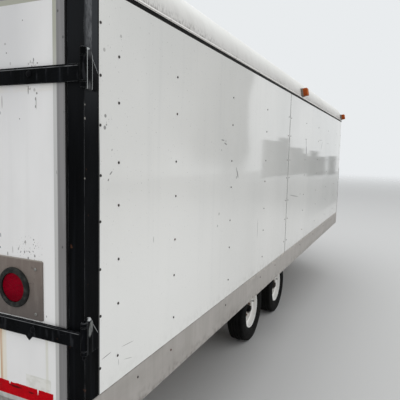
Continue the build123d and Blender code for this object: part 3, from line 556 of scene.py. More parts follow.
def roof_skin():
    """White roof and coves: dark specks of dirt caught above the lip, and faint runs higher up."""
    paint = Finish("roof_white", (232, 232, 228), 0.4)
    rise = paint.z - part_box("side_coves")[0].z
    paint.mottle((205, 203, 196), 1.2, 0.5, 0.18, 1, 0.3)
    paint.lay((186, 182, 179), rise.ramp(0.13, 0.006), 0.5)
    paint.mottle((168, 165, 159), (30, 22, 5), 0.34, 0.14, 3, 0.16, where=rise.ramp(0.13, 0.02))
    clouds = paint.patches((3, 1.6, 3), 0.42, 0.16, 12) + 0.22
    paint.mottle((62, 58, 56), (150, 120, 52), 0.42, 0.09, 5, 0.66, 5, rise.ramp(0.046, 0.002) * clouds)
    paint.mottle((120, 117, 111), (20, 16, 30), 0.5, 0.2, 6, 0.6, where=rise.ramp(0.016, 0))
    paint.dull(0.6, paint.patches(4, 0.5, 0.2, 8))
    paint.bumps((2, 2, 6), 2, 9, 0.004)
    paint.done("side_coves", "nose_cove", "roof_sheet")


def trim_band():
    """Black edge band with a bright lip; the band is pitted and dusty."""
    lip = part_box("side_trims")[1].z - 0.0068
    paint = Finish("edge_trim", (8, 7, 7), 0.46, specular=0.06)
    paint.mottle((66, 62, 60), (70, 70, 55), 0.12, 0.06, 2, 0.4)
    paint.mottle((30, 28, 27), (9, 9, 40), 0.35, 0.15, 4, 0.4)
    # The lip along the band's top is painted near white and glossier: its pale edge with a painted highlight.
    bright = paint.z.ramp(lip - 0.0004, lip + 0.0004)
    paint.lay((246, 243, 240), bright)
    paint.mottle((160, 156, 150), (30, 30, 8), 0.16, 0.1, 6, 0.5, where=bright)
    paint.dull(0.3, bright)
    paint.bumps(260, 2, 8, 0.0004)
    paint.done("side_trims", "nose_trim")


def rail_skin():
    """Mill-finish aluminium rail: warm grey, fine upright streaks, grime at the joint and splashes below."""
    paint = Finish("rail_grey", (170, 165, 160), 0.5, 0.15, 0.4)
    paint.mottle((146, 141, 134), (55, 55, 1.8), 0.42, 0.14, 2, 0.2)
    paint.mottle((196, 192, 187), (12, 12, 3), 0.4, 0.18, 4, 0.28)
    paint.mottle((120, 115, 108), (3, 3, 9), 0.3, 0.12, 6, 0.25)
    top = RAIL_FOOT + 0.147
    along = paint.y - REAR
    peeling = paint.z.ramp(top - 0.04, top - 0.004) * along.ramp(1.2, 1.8)
    paint.mottle((206, 198, 188), (30, 24, 60), 0.42, 0.06, 14, 0.55, where=peeling)
    seam = paint.z.ramp(top - 0.006, top - 0.001) * along.ramp(2.2, 1.2)
    paint.mottle((58, 55, 52), (40, 40, 10), 0.7, 0.2, 8, 0.7, where=seam)
    splash = paint.z.ramp(RAIL_FOOT + 0.06, RAIL_FOOT)
    paint.mottle((92, 86, 78), 34, 0.4, 0.12, 10, 0.45, where=splash)
    paint.lay((214, 211, 206), paint.edges(0.002), 0.5)
    paint.bumps((180, 180, 4), 3, 12, 0.0004)
    paint.done("side_rails", "nose_rail", "rear_sill")


def bare_metal(name, colour, roughness, *nodes, rust=0.25, metallic=0.7):
    """Galvanised or bare metal with a mottled face, scuffed edges and some rust."""
    paint = Finish(name, colour, roughness, metallic)
    lighter = [min(255, 1.16 * value) for value in colour]
    paint.mottle([0.72 * value for value in colour], 28, 0.45, 0.14, 2, 0.6)
    paint.mottle(lighter, 75, 0.25, 0.08, 4, 0.5)
    stain = paint.patches((17, 17, 9), rust, 0.08, 6)
    paint.lay((112, 66, 38), stain, 0.75)
    paint.dull(0.8, stain)
    paint.lay(lighter, paint.edges(0.0015), 0.6)
    paint.bumps(240, 3, 8, 0.0003)
    return paint.done(*nodes)


def black_paint(name, colour=(3, 4, 5), roughness=0.42, rust=0.05, dust=0):
    """Black paint over steel: upright run marks, worn edges that show grey, and rust where it chips."""
    paint = Finish(name, colour, roughness, specular=0.03)
    paint.mottle((26, 28, 32), (48, 48, 1.6), 0.28, 0.1, 2, 0.45)
    paint.mottle((20, 21, 24), (7, 7, 2), 0.45, 0.18, 4, 0.6)
    if dust:
        paint.mottle((118, 110, 98), 9, 0.55, 0.2, 14, dust)
    paint.mottle((112, 114, 116), (36, 36, 14), 0.55, 0.1, 6, 0.55, where=paint.edges(0.0022))
    paint.mottle((86, 56, 40), (52, 52, 40), rust, 0.04, 8, 0.7)
    paint.dull(0.62, paint.patches((11, 11, 3), 0.4, 0.15, 10))
    paint.bumps((120, 120, 40), 3, 12, 0.0004)
    return paint


def post_paint():
    """Rear posts and header: the posts' side faces are rubbed grey above the upper hinges."""
    paint = black_paint("post_black", rust=0.02)
    along = paint.y - REAR
    rubbed = along.band(0.009, 0.032, 0.004) * paint.z.ramp(1.85, 1.92)
    rubbed *= abs(paint.x).ramp(WALL_X - 0.003, WALL_X - 0.001)
    rubbed *= paint.patches((1, 30, 16), 0.5, 0.2, 33) + 0.45
    paint.mottle((136, 137, 139), (150, 150, 70), 0.66, 0.16, 20, 0.78, where=rubbed)
    paint.lay((70, 72, 75), along.band(0.004, 0.064, 0.006) * paint.z.ramp(1.6, 1.95), 0.62)
    paint.lay((3, 3, 4), along.band(0.061, 0.07, 0.001))
    chips = [paint.spot((WALL_X, REAR + y, z), (0.004, r, 1.4 * r)) for y, z, r in POST_CHIPS]
    paint.lay((150, 146, 140), either(*chips), 0.8)
    paint.done("rear_posts", "rear_header")


def hinge_paint():
    """Hinge butts: rubbed through to grey on the lower one; light lines along the bars' edges and the
    gussets' slopes are worn paint with painted highlights.
    """
    paint = black_paint("hinge_black", rust=0.04)
    along = paint.y - REAR
    bar_x = WALL_X + 0.008
    torn = paint.ragged(70, 0.003, 4)
    worn = paint.spot((bar_x, REAR + 0.0175, 1.071), (0.03, 0.0105, 0.03), -0.22, torn)
    paint.mottle((122, 124, 122), (140, 140, 60), 0.8, 0.15, 22, 0.9, where=worn)
    cap = paint.spot((bar_x, REAR + 0.012, 1.101), (0.03, 0.012, 0.0068), place=torn)
    paint.lay((196, 198, 198), cap, 0.9)
    scuffs = either(paint.z.band(1.76, 1.772, 0.024), paint.z.ramp(1.84, 1.868)) * along.band(0, 0.03, 0.002)
    paint.mottle((96, 97, 98), (150, 150, 40), 0.6, 0.2, 27, 0.7, where=scuffs)
    # Worn edges with painted highlights: light lines along the bars' edges, bright on the upper butts and
    # grey on the lower ones; the rear line sits on the face's border beside the knuckle.
    arris = either(along.band(0.0038, 0.0052, 0.0008), along.band(0.0262, 0.029, 0.0008))
    arris *= abs(paint.x).ramp(WALL_X + 0.0035, WALL_X + 0.005)
    arris *= paint.patches((80, 80, 40), 0.85, 0.15, 29)
    paint.lay((196, 199, 199), arris * paint.z.ramp(1.7, 1.76), 0.85)
    paint.lay((84, 86, 88), arris * paint.z.ramp(1.7, 1.66), 0.6)
    # Painted highlights over worn paint: the upper bars' top corner and the gussets' slopes.
    corner = paint.spot((bar_x, REAR + 0.007, 1.8735), (0.03, 0.009, 0.0045))
    slopes = [scratch_mask(paint, sign, (0.0105, foot + 0.1205, 0.0625, foot + 0.0405, 0.0019))
              for _, sign in SIDES for foot, _, _ in HINGE_BUTTS]
    paint.lay((178, 182, 182), either(corner, *slopes), 0.85)
    return paint.done("hinge_butts")


def strap_paint(side):
    """Door straps: thick black brushed paint with a pale line along the top edge."""
    paint = black_paint(f"strap_black_{side}")
    lines = either(*[paint.z.band(top - 0.0062, top - 0.0048, 0.0008) for top in STRAP_TOPS])
    lines *= abs(paint.x).ramp(1.288, 1.278)
    paint.mottle((128, 129, 130), (30, 6, 6), 0.66, 0.16, 24, 0.75, where=lines)
    paint.mottle((46, 47, 50), (75, 1, 11), 0.22, 0.05, 31, 0.6)
    paint.bumps((60, 60, 160), 3, 26, 0.0012)
    paint.done(f"door_{side}_straps")


# Marks on a door's panel beside and below its straps: distance from the middle, height, half width and
# half height
DOOR_SPOTS = (
    (0.9663, 1.3215, 0.002, 0.009), (0.9955, 1.2649, 0.0024, 0.008), (0.9629, 1.2822, 0.003, 0.005),
    (1.1046, 1.3204, 0.0028, 0.003), (1.1081, 1.2702, 0.0036, 0.005), (1.0814, 1.2611, 0.0034, 0.0044),
    (1.0669, 1.2783, 0.0028, 0.0056), (1.0071, 1.8786, 0.0026, 0.003), (1.0559, 1.6835, 0.0022, 0.003),
    (1.1145, 1.8522, 0.0026, 0.007), (1.129, 1.8423, 0.0034, 0.0026), (1.092, 1.766, 0.0024, 0.014),
    (1.1251, 1.7564, 0.004, 0.004), (1.1201, 1.7404, 0.0026, 0.006), (1.1197, 1.7185, 0.0026, 0.005),
    (1.1523, 1.0874, 0.0022, 0.004), (1.074, 1.967, 0.0022, 0.0026),
)
DOOR_HINTS = (
    (0.9845, 1.735, 0.003, 0.024), (0.9738, 1.7022, 0.006, 0.007), (1.017, 1.28, 0.0022, 0.014),
    (1.0025, 1.9052, 0.005, 0.004), (1.0222, 1.8469, 0.003, 0.006), (1.1024, 1.8478, 0.003, 0.005),
    (1.1164, 1.7665, 0.005, 0.006), (1.1222, 1.728, 0.003, 0.022), (1.0697, 1.309, 0.006, 0.005),
)
DOOR_STAINS = ((1.108, 1.838, 0.024, 0.012), (1.096, 1.775, 0.012, 0.01))
DOOR_SPATTER = ((1.085, PLATE_HIGH.z + 0.028, 0.06, 0.05),)
EDGE_DENTS = ((1.208, 1.979, 0.0035, 0.005), (1.226, 1.907, 0.0035, 0.005), (1.218, 1.31, 0.0035, 0.005))
# Runs below the lower strap: colour, inner and outer side, softness and strength
DOOR_RUNS = (((226, 210, 168), 0.96, 0.976, 0.01, 0.6), ((196, 140, 82), 0.955, 0.96, 0.005, 0.8),
             ((206, 204, 180), 1.149, 1.155, 0.004, 0.5))


def door_marks(paint, sign, rows, face=PANEL_FACE, place=None):
    """Mask of the marks in a table's rows, on one door."""
    return either(*[paint.spot((sign * x, face, z), (half, 0.05, tall), place=place)
                    for x, z, half, tall in rows])


def door_skin(side, sign):
    """A door's white panel: warmer and dirtier than the sides, with runs below the straps and lamp."""
    paint = Finish(f"door_{side}_white", (240, 239, 238), 0.36)
    paint.mottle((206, 205, 204), (4, 1, 1.6), 0.42, 0.18, 2 + sign, 0.34)
    paint.mottle((190, 188, 185), (34, 1, 1.4), 0.22, 0.14, 5 + sign, 0.08)
    out = paint.x * sign
    paint.lay((200, 200, 201), paint.z.ramp(1.45, 1.95) * out.ramp(1.17, 1.02), 0.6)
    spatter = door_marks(paint, sign, DOOR_SPATTER)
    paint.mottle((54, 50, 48), (190, 1, 150), 0.16, 0.03, 7, 0.9, 1, spatter)
    paint.lay((70, 66, 64), door_marks(paint, sign, DOOR_SPOTS), 0.75)
    paint.lay((140, 136, 132), door_marks(paint, sign, DOOR_HINTS), 0.5)
    torn = paint.ragged(26, 0.012, 9)
    stains = door_marks(paint, sign, DOOR_STAINS, place=torn)
    paint.mottle((104, 92, 88), (170, 1, 120), 0.42, 0.08, 41, 0.62, where=stains)
    below_strap = paint.split(torn)[2].band(1.765, 1.786, 0.008)
    paint.mottle((222, 214, 200), (20, 1, 40), 0.5, 0.1, 43, 0.2, where=below_strap)
    below = paint.z.band(0.845, 1.011, 0.004) * paint.patches((60, 1, 3), 0.65, 0.2, 11)
    for colour, start, end, soft, strength in DOOR_RUNS:
        paint.lay(colour, below * out.band(start, end, soft), strength)
    old_tape = out.band(1.066, 1.165, 0.003) * paint.z.band(0.842, 0.883, 0.003)
    paint.lay((224, 223, 215), old_tape, 0.6)
    paint.mottle((196, 195, 184), (34, 1, 60), 0.4, 0.1, 13, 0.35, where=old_tape)
    paint.mottle((150, 146, 138), (40, 1, 20), 0.5, 0.15, 15, 0.6, where=paint.z.ramp(0.845, 0.8))
    line_inside(paint, paint.y.ramp(PANEL_FACE + 0.024, PANEL_FACE + 0.026))
    paint.dull(0.52, paint.patches((5, 5, 3), 0.45, 0.2, 17))
    paint.bumps((3, 1, 2.2), 1, 19, 0.006)
    paint.done(f"door_{side}_panel")


def door_edge(side, sign):
    """A door's channel frame: dull outer flange, inner lip painted brighter as a painted highlight, outer
    side face painted dark as painted shade, dents and fine scratches.
    """
    low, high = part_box(f"door_{side}_frame")
    lip = 0.031
    paint = Finish(f"door_{side}_edge", (140, 138, 138), 0.42, 0.35)
    paint.mottle((118, 116, 116), (140, 140, 2.5), 0.45, 0.12, 2 + sign, 0.5)
    # Painted highlight: the inner lip is painted brighter, as the light that its slope catches.
    inner = paint.x.band(low.x + lip, high.x - lip, 0.002) * paint.z.band(low.z + lip, high.z - lip, 0.002)
    paint.lay((206, 205, 203), inner, 0.9)
    paint.lay((168, 168, 150), inner * paint.z.ramp(1.72, 1.95), 0.8)
    paint.mottle((70, 68, 68), (120, 120, 50), 0.05, 0.03, 6, 0.6)
    paint.lay((62, 60, 60), door_marks(paint, sign, EDGE_DENTS, DOOR_FACE), 0.7)
    reach = max(abs(low.x), abs(high.x))
    # Painted shade: the frame's outer side face, in the gap by the post, is painted near black.
    paint.lay((34, 34, 35), (paint.x * sign).ramp(reach - 0.0014, reach - 0.0006), 0.9)
    foot = paint.z.ramp(low.z + 0.06, low.z)
    paint.lay((172, 168, 158), foot, 0.6)
    paint.mottle((96, 90, 82), 50, 0.45, 0.12, 8, 0.7, where=foot)
    paint.lay((200, 200, 198), paint.edges(0.0015), 0.4)
    paint.bumps((200, 200, 5), 3, 10, 0.0004)
    paint.done(f"door_{side}_frame")


def lamp_plate(side):
    """Steel plate behind the tail lamp: brown grey, darker towards the foot, dirt along its edges."""
    paint = Finish(f"lamp_plate_{side}", (124, 113, 106), 0.58, 0.2, 0.3)
    paint.lay((92, 86, 83), paint.z.ramp(PLATE_HIGH.z - 0.02, PLATE_LOW.z), 0.75)
    paint.mottle((146, 138, 130), (45, 1, 8), 0.3, 0.12, 2, 0.35)
    paint.mottle((70, 62, 56), (80, 1, 80), 0.15, 0.06, 4, 0.5)
    paint.lay((176, 170, 160), paint.z.ramp(PLATE_HIGH.z - 0.004, PLATE_HIGH.z - 0.002), 0.7)
    paint.lay((74, 70, 66), paint.edges(0.003), 0.35)
    paint.bumps((160, 1, 160), 3, 6, 0.0005)
    paint.done(f"door_{side}_lamp_plate")


def grommet_rubber():
    """Black rubber ring with dust in its folds."""
    paint = Finish("rubber_black", (22, 23, 22), 0.62, specular=0.2)
    paint.mottle((70, 72, 66), 60, 0.4, 0.16, 2, 0.45)
    paint.bumps(420, 2, 4, 0.0003)
    paint.done("door_right_lamp_grommet", "door_left_lamp_grommet")


def lens_plastic(name, colour, deep):
    """Lamp plastic, deeper in patches."""
    paint = Finish(name, colour, 0.34, specular=0.02)
    paint.mottle(deep, 40, 0.4, 0.2, 2, 0.5)
    return paint


def tail_lenses():
    """Round tail lamps: darker towards the foot, with rings about the centre and upright ribs."""
    deep = (104, 0, 18)
    paint = lens_plastic("lens_red", (136, 0, 26), deep)
    paint.lay(deep, paint.z.ramp(LAMP.z + 0.005, LAMP.z - 0.035), 0.8)
    across = abs(paint.x) - LAMP.x
    rings = (distance(across, paint.z - LAMP.z) * 1400).step("SINE")
    paint.relief(rings + (across * 1500).step("SINE"), 0.0003)
    paint.done("door_right_lamp_lens", "door_left_lamp_lens")


def marker_lenses():
    """Marker lamps of ribbed plastic on grey or bright bases; the amber ones lean with the cove."""
    red = lens_plastic("marker_red", (168, 10, 16), (110, 6, 14))
    amber = lens_plastic("marker_amber", (158, 76, 34), (120, 48, 22))
    for paint in (red, amber):
        paint.relief((paint.z * 1500).step("SINE"), 0.0003)
    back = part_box("marker_lamps_red")[1].y - 0.018
    red.lay((112, 110, 106), red.y.ramp(back - 0.0005, back + 0.0005))
    red.done("marker_lamps_red")
    lean = math.radians(10)
    cosine, sine = math.cos(lean), math.sin(lean)
    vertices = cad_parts["marker_lamps_amber"].data.vertices
    front = max(abs(v.co.x) * cosine + v.co.z * sine for v in vertices)
    out = abs(amber.x) * cosine + amber.z * sine
    amber.lay((186, 104, 50), out.ramp(front - 0.006, front - 0.002), 0.8)
    amber.lay((120, 112, 104), out.ramp(front - 0.0355, front - 0.0365))
    amber.done("marker_lamps_amber")


def floor_wood():
    """Plywood deck with grain along the trailer, scuffs from skis and damp edges."""
    paint = Finish("plywood", (164, 134, 96), 0.65)
    grain = paint.noise((26, 1.6, 26), 6, 2, 0.8)
    paint.lay((124, 94, 62), grain.ramp(0.44, 0.72), 0.5)
    paint.mottle((104, 90, 74), (9, 0.7, 9), 0.25, 0.12, 4, 0.35)
    paint.lay((84, 72, 58), abs(paint.x).ramp(1.1, 1.26), 0.4)
    paint.relief(grain, 0.0006)
    paint.done("floor_deck")


def guard_metal():
    """Bright aluminium of the stone guard and nose cap, scoured dull by gravel."""
    paint = Finish("trim_aluminium", (188, 189, 190), 0.34, 0.75)
    paint.mottle((162, 162, 162), (14, 14, 22), 0.45, 0.2, 2, 0.4)
    low = paint.z.ramp(1.3, 0.85)
    paint.mottle((124, 118, 110), 38, 0.35, 0.16, 4, 0.25, where=low)
    paint.lay((222, 222, 222), paint.edges(0.0012), 0.5)
    paint.dull(0.5, low)
    paint.bumps(260, 2, 6, 0.0003)
    return paint.done("rock_guard", "nose_cap")


def rim_paint(side, end):
    """White steel wheel: clean lip, brake dust and rust about the hub and the lug nuts."""
    paint = Finish(f"rim_white_{side}_{end}", (250, 249, 246), 0.38)
    reach = distance(paint.y - AXLE_YS[end], paint.z - AXLE_Z)
    # The disc inside the lip is greyer all over.
    paint.lay((184, 176, 166), reach.ramp(0.132, 0.104), 0.55)
    paint.mottle((86, 74, 64), 40, 0.5, 0.15, 2, 0.5, where=reach.ramp(0.125, 0.075))
    paint.mottle((120, 66, 36), 26, 0.3, 0.08, 4, 0.7, where=reach.ramp(0.09, 0.06))
    paint.bumps(150, 2, 6, 0.0003)
    paint.done(f"wheel_{side}_{end}_rim")


def tyre_rubber():
    """Tyre rubber: black with brown dust and paler specks."""
    paint = Finish("tyre", (11, 11, 11), 0.8, specular=0.14)
    paint.mottle((40, 38, 34), 14, 0.45, 0.2, 2, 0.35)
    paint.mottle((26, 26, 25), 120, 0.4, 0.1, 4, 0.4)
    paint.bumps(520, 2, 6, 0.0004)
    return paint.done(*[f"wheel_{side}_{end}_tyre" for side, _ in SIDES for end in ENDS])


def tape_film(colour, side, sign):
    """Reflective film with fine cells, scuffed where something struck it."""
    base, worn = {"red": ((198, 3, 20), (170, 4, 18)), "white": ((206, 206, 202), (178, 176, 170))}[colour]
    paint = Finish(f"tape_{colour}_{side}", base, 0.34, specular=0.03)
    paint.mottle(worn, (30, 1, 60), 0.5, 0.15, 2, 0.6)
    cells = paint.add("TexVoronoi", {"Vector": paint.place, "Scale": 260}, "Distance")
    paint.lay([0.82 * value for value in base], cells.ramp(0.35, 0.7), 0.5)
    torn = paint.ragged(60, 0.004, 3)
    paint.lay((62, 10, 14), door_marks(paint, sign, TAPE_GASHES, place=torn), 0.85)
    paint.mottle((86, 60, 54), (90, 1, 90), 0.1, 0.04, 5, 0.6)
    paint.relief(cells, 0.0003)
    return paint.done()


def side_rows(sign):
    """Places of the screws of one side sheet and its rail."""
    seam = SEAM_Y - REAR
    columns = [FIRST_ROW_Y]
    for k in range(STUD_COUNT):
        column = STUD_FIRST_Y + k * STUD_SPACING
        near_seam = abs(column - seam) < 0.1
        columns += [seam - SEAM_SCREW_OFFSET, seam + SEAM_SCREW_OFFSET] if near_seam else [column]
    columns.append(CORNER_Y - REAR - CORNER_SCREW_OFFSET)
    rows = [(EDGE_SCREW_Y, height) for height in EDGE_SCREW_HEIGHTS]
    rows += [(column, height) for column in columns for height in ROW_HEIGHTS]
    rows += [(column, RAIL_SCREW_HEIGHT) for column in RAIL_SCREW_YS]
    return [(sign * WALL_X, REAR + y, z) for y, z in rows]


def nose_rows(sign):
    """Places of the screws of one nose wall: along the guard's top edge and up the studs above it."""
    guard_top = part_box("rock_guard")[1].z
    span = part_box("nose_cap")[1].y - CORNER_Y
    rows = [((0.05 + 0.85 * k / (GUARD_SCREW_COUNT - 1)) * span, guard_top - 0.02, GUARD_THICK)
            for k in range(GUARD_SCREW_COUNT)]
    rows += [((0.05 + 0.2125 * k) * span, height, 0)
             for k in range(NOSE_STUD_COUNT) for height in NOSE_SCREW_HEIGHTS]
    return [(sign * (WALL_X - ahead + out), CORNER_Y + ahead, height) for ahead, height, out in rows]


def make_screws(metal):
    """Screw heads of the sheets and rails, one joined mesh for each side and one for the nose."""
    rng = random.Random(11)
    for side, sign in SIDES:
        bm = bmesh.new()
        for place in side_rows(sign):
            slip = Vector((0, rng.uniform(-0.0015, 0.0015), rng.uniform(-0.0015, 0.0015)))
            pan_head(bm, facing(Vector(place) + slip, (sign, 0, 0), rng.uniform(0, 1)))
        piece(f"sheet_screws_{side}", bm, metal, "trailer")
    bm = bmesh.new()
    for _, sign in SIDES:
        for place in nose_rows(sign):
            pan_head(bm, facing(place, Vector((sign, 1, 0)).normalized(), rng.uniform(0, 1)))
    piece("nose_screws", bm, metal, "trailer")


# Hinge butts: the bar and its gusset, and how far the pin lies out from the wall and behind the posts
BAR_THICK, BAR_WIDTH = 0.008, 0.028
GUSSET_THICK, GUSSET_WIDTH, GUSSET_RISE = 0.004, 0.058, 0.049
BAR_CORNER_RISE, BAR_TOP_WIDTH = 0.0937, 0.016
PIN_OUT, PIN_BEHIND = 0.01, 0.016


def make_hinges(material):
    """Hinge butts in place of the plain ones: bar, gusset, two ears, pin with heads, and weld beads."""
    rng = random.Random(61)
    pin_x, pin_y = WALL_X + PIN_OUT, REAR - PIN_BEHIND
    root_y = REAR + 0.002
    ear = ((pin_x - PIN_OUT, pin_y), (pin_x + PIN_OUT, pin_y), (WALL_X + 0.0078, root_y), (WALL_X, root_y))
    bm = bmesh.new()
    for _, sign in SIDES:
        pin = Matrix.Translation((sign * pin_x, pin_y, 0))
        for low, high, ears in HINGE_BUTTS:
            slope = low + GUSSET_RISE
            gusset = ((0, low), (GUSSET_WIDTH, low), (GUSSET_WIDTH, slope),
                      (BAR_TOP_WIDTH, high - 0.0005), (0, high - 0.0005))
            face = ((0, low), (BAR_WIDTH, low), (BAR_WIDTH, low + BAR_CORNER_RISE),
                    (BAR_TOP_WIDTH, high), (0, high))
            for outline, thick, bevel in ((gusset, GUSSET_THICK, 0.001), (face, BAR_THICK, 0.0016)):
                points = [(sign * WALL_X, REAR + y, z) for y, z in outline]
                prism(bm, points, (sign * thick, 0, 0), bevel)
            for foot, top in ears:
                prism(bm, [(sign * x, y, foot) for x, y in ear], (0, 0, top - foot), 0.0006)
                knuckle = ((0, foot), (0.0092, foot), (0.0099, foot + 0.0008), (0.0099, top - 0.0008),
                           (0.0092, top), (0, top))
                turned(bm, knuckle, pin, 24)
            head = ears[-1][1]
            turned(bm, ((0, low - 0.004), (0.0048, low - 0.004), (0.0048, head), (0.0072, head),
                        (0.0072, head + 0.0016), (0.0046, head + 0.003), (0, head + 0.0034)), pin, 16)
            edge_x, edge_y = sign * (WALL_X + 0.001), REAR + GUSSET_WIDTH
            weld(bm, (edge_x, edge_y, low + 0.004), (edge_x, edge_y, slope - 0.003), 0.0024, rng)
            weld(bm, (edge_x, REAR + 0.004, low), (edge_x, edge_y - 0.004, low), 0.0022, rng)
    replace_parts(piece("hinge_butts_dressed", bm, material, "trailer", 34), "hinge_butts")


def make_seams(sealant):
    """The dark bead where the two side sheets lap, uneven in width as it was wiped."""
    rng = random.Random(23)
    count = 90
    for side, sign in SIDES:
        bm = bmesh.new()
        points, radii = [], []
        for k in range(count + 1):
            height = WALL_FOOT + 0.001 + (WALL_TOP - WALL_FOOT - 0.002) * k / count
            points.append((sign * WALL_X, SEAM_Y + rng.uniform(-0.0006, 0.0006), height))
            radii.append(rng.uniform(0.0012, 0.002))
        bar(bm, points, radii)
        piece(f"sheet_seam_{side}", bm, sealant, "trailer")


# Bolt of a hinge strap as (radius, height); middle and half diagonal of the square plate under the lower
# strap; insets of the lamp plate's screws from its sides, top and foot; gap that keeps two faces apart
STRAP_BOLT = ((0, 0), (0.01, 0), (0.0096, 0.0018), (0.0078, 0.004), (0.0045, 0.0054), (0, 0.0058))
BACK_PLATE_X, BACK_PLATE_Z, BACK_PLATE_REACH = 1.081, 1.028, 0.03
PLATE_INSET_X, PLATE_INSET_TOP, PLATE_INSET_FOOT = 0.0285, 0.028, 0.019
SINK = 0.0001


def make_door_hardware(metal, paint_black):
    """Bolts of the hinge straps, the square plate under the lower one, and the lamp plate's screws."""
    for side, sign in SIDES:
        bm = bmesh.new()
        for height in STRAP_BOLT_HEIGHTS:
            for x in STRAP_BOLT_XS:
                place = (sign * x, DOOR_FACE - STRAP_THICK, height)
                turned(bm, STRAP_BOLT, facing(place, (0, -1, 0)), 16)
        corners = [(sign * BACK_PLATE_X + BACK_PLATE_REACH * across, DOOR_FACE + SINK,
                    BACK_PLATE_Z + BACK_PLATE_REACH * up)
                   for across, up in ((1, 0), (0, 1), (-1, 0), (0, -1))]
        prism(bm, corners, (0, PANEL_FACE - DOOR_FACE - 2 * SINK, 0))
        piece(f"strap_bolts_{side}", bm, paint_black, f"door_{side}")
        bm = bmesh.new()
        for x in (PLATE_LOW.x + PLATE_INSET_X, PLATE_HIGH.x - PLATE_INSET_X):
            for z in (PLATE_LOW.z + PLATE_INSET_FOOT, PLATE_HIGH.z - PLATE_INSET_TOP):
                pan_head(bm, facing((sign * x, PLATE_LOW.y, z), (0, -1, 0), 0.4), 0.0052, 0.0034)
        piece(f"lamp_plate_screws_{side}", bm, metal, f"door_{side}")


# Lock-rod guides: distance from the middle, spacing of their two bolts and heights
GUIDE_X, GUIDE_BOLT_OFFSET = 0.13, 0.0215
GUIDE_HEIGHTS = (0.86, 1.24, 1.64, 1.95)
GUIDE_FACE = -3.7325
# Jack plate and coupler between the tongue's tubes
JACK_Y, JACK_RADIUS = 3.201, 0.029
JACK_PLATE_TOP = 0.698
JACK_BOLT_YS, JACK_BOLT_INSET = (3.115, 3.3), 0.026
# Inner edge of the tongue's tubes: where it starts out and along, and how fast it closes in
TONGUE_START_X, TONGUE_START_Y, TONGUE_SLOPE = 0.69, 1.601, 0.66 / 2.03
COUPLER_TOP = 0.672
COUPLER_EDGE = ((0.1178, 3.361), (0.03, 3.631))
# Bolts through the spring hangers, the equaliser and its rocker: distance along and height
SPRING_BOLTS = ((-1.439, 0.419), (0.001, 0.419), (-0.719, 0.459), (-0.799, 0.419), (-0.639, 0.419))
SPRING_BOLT_ENDS = (0.69, 0.75)


def make_guide_bolts(metal):
    """Two bolts through each guide of a door's lock rod."""
    for side, sign in SIDES:
        bm = bmesh.new()
        for height in GUIDE_HEIGHTS:
            for x in (GUIDE_X - GUIDE_BOLT_OFFSET, GUIDE_X + GUIDE_BOLT_OFFSET):
                hex_bolt(bm, facing((sign * x, GUIDE_FACE, height), (0, -1, 0), height), 0.013, 0.006, 1.25)
        piece(f"lock_guide_bolts_{side}", bm, metal, f"door_{side}")


def make_tongue_fasteners(metal, steel):
    """Bolts that hold the jack's plate down, the weld round its tube and the welds beside the coupler."""
    rng = random.Random(71)
    bolts, beads = bmesh.new(), bmesh.new()
    (rear_x, rear_y), (front_x, front_y) = COUPLER_EDGE
    for _, sign in SIDES:
        for y in JACK_BOLT_YS:
            x = TONGUE_START_X - TONGUE_SLOPE * (y - TONGUE_START_Y) + JACK_BOLT_INSET
            local = facing((sign * x, y, JACK_PLATE_TOP), (0, 0, 1), y)
            hex_bolt(bolts, local, 0.017, 0.009, 1.3)
            turned(bolts, ((0, 0.009), (0.0048, 0.009), (0.0048, 0.013), (0, 0.014)), local, 12)
        weld(beads, (sign * rear_x, rear_y, COUPLER_TOP), (sign * front_x, front_y, COUPLER_TOP), 0.0042, rng)
    count = 44
    ring = [(JACK_RADIUS * math.cos(a), JACK_Y + JACK_RADIUS * math.sin(a), JACK_PLATE_TOP + 0.0005)
            for a in (math.tau * k / count for k in range(count))]
    bar(beads, ring, [rng.uniform(0.003, 0.0042) for _ in ring], closed=True)
    piece("jack_bolts", bolts, metal, "trailer")
    piece("tongue_welds", beads, steel, "trailer")


def make_spring_nuts(metal):
    """Heads and nuts on the bolts of the spring hangers and the equaliser."""
    bm = bmesh.new()
    inner, outer = SPRING_BOLT_ENDS
    for _, sign in SIDES:
        for y, z in SPRING_BOLTS:
            hex_bolt(bm, facing((sign * outer, y, z), (sign, 0, 0), z + y), 0.022, 0.01, 1.2)
            hex_bolt(bm, facing((sign * inner, y, z), (-sign, 0, 0), z - y), 0.022, 0.012, 1.2)
    piece("spring_bolt_heads", bm, metal, "trailer")


# Reflective tape along a door's foot: inner and outer end from the centre line, and its colour
TAPE_RUNS = ((0.0535, 0.253, "red"), (0.253, 0.431, "white"), (0.431, 0.713, "red"), (0.713, 0.891, "white"),
             (0.891, 1.176, "red"))
TAPE_SLOTS = {"red": "lens_red", "white": "skin_white"}
TAPE_FOOT, TAPE_TOP = 0.7985, 0.8435
TAPE_THICK = 0.0006
# Torn places: distance from the middle, half width and depth
TAPE_NOTCHES = ((0.993, 0.0045, 0.011), (1.1135, 0.0035, 0.019), (1.01, 0.012, 0.003))
# Scuffs of the film: distance from the middle, height, half width and half height
TAPE_GASHES = ((1.018, 0.8305, 0.034, 0.0042), (1.084, 0.8255, 0.014, 0.0034))


def tape_outline(start, end, sign, rng):
    """Points round one run of tape, its top edge torn."""
    points = [(start, TAPE_FOOT), (end - 0.002, TAPE_FOOT)]
    x = end
    while x > start:
        drop = rng.uniform(0, 0.0016)
        for centre, half, deep in TAPE_NOTCHES:
            near = 1 - abs(x - centre) / half
            drop = max(drop, deep * min(1, 1.6 * near)) if near > 0 else drop
        points.append((x, TAPE_TOP - drop))
        x -= rng.uniform(0.0012, 0.004)
    points.append((start, TAPE_TOP))
    return [(sign * x, PANEL_FACE - SINK, z) for x, z in points]


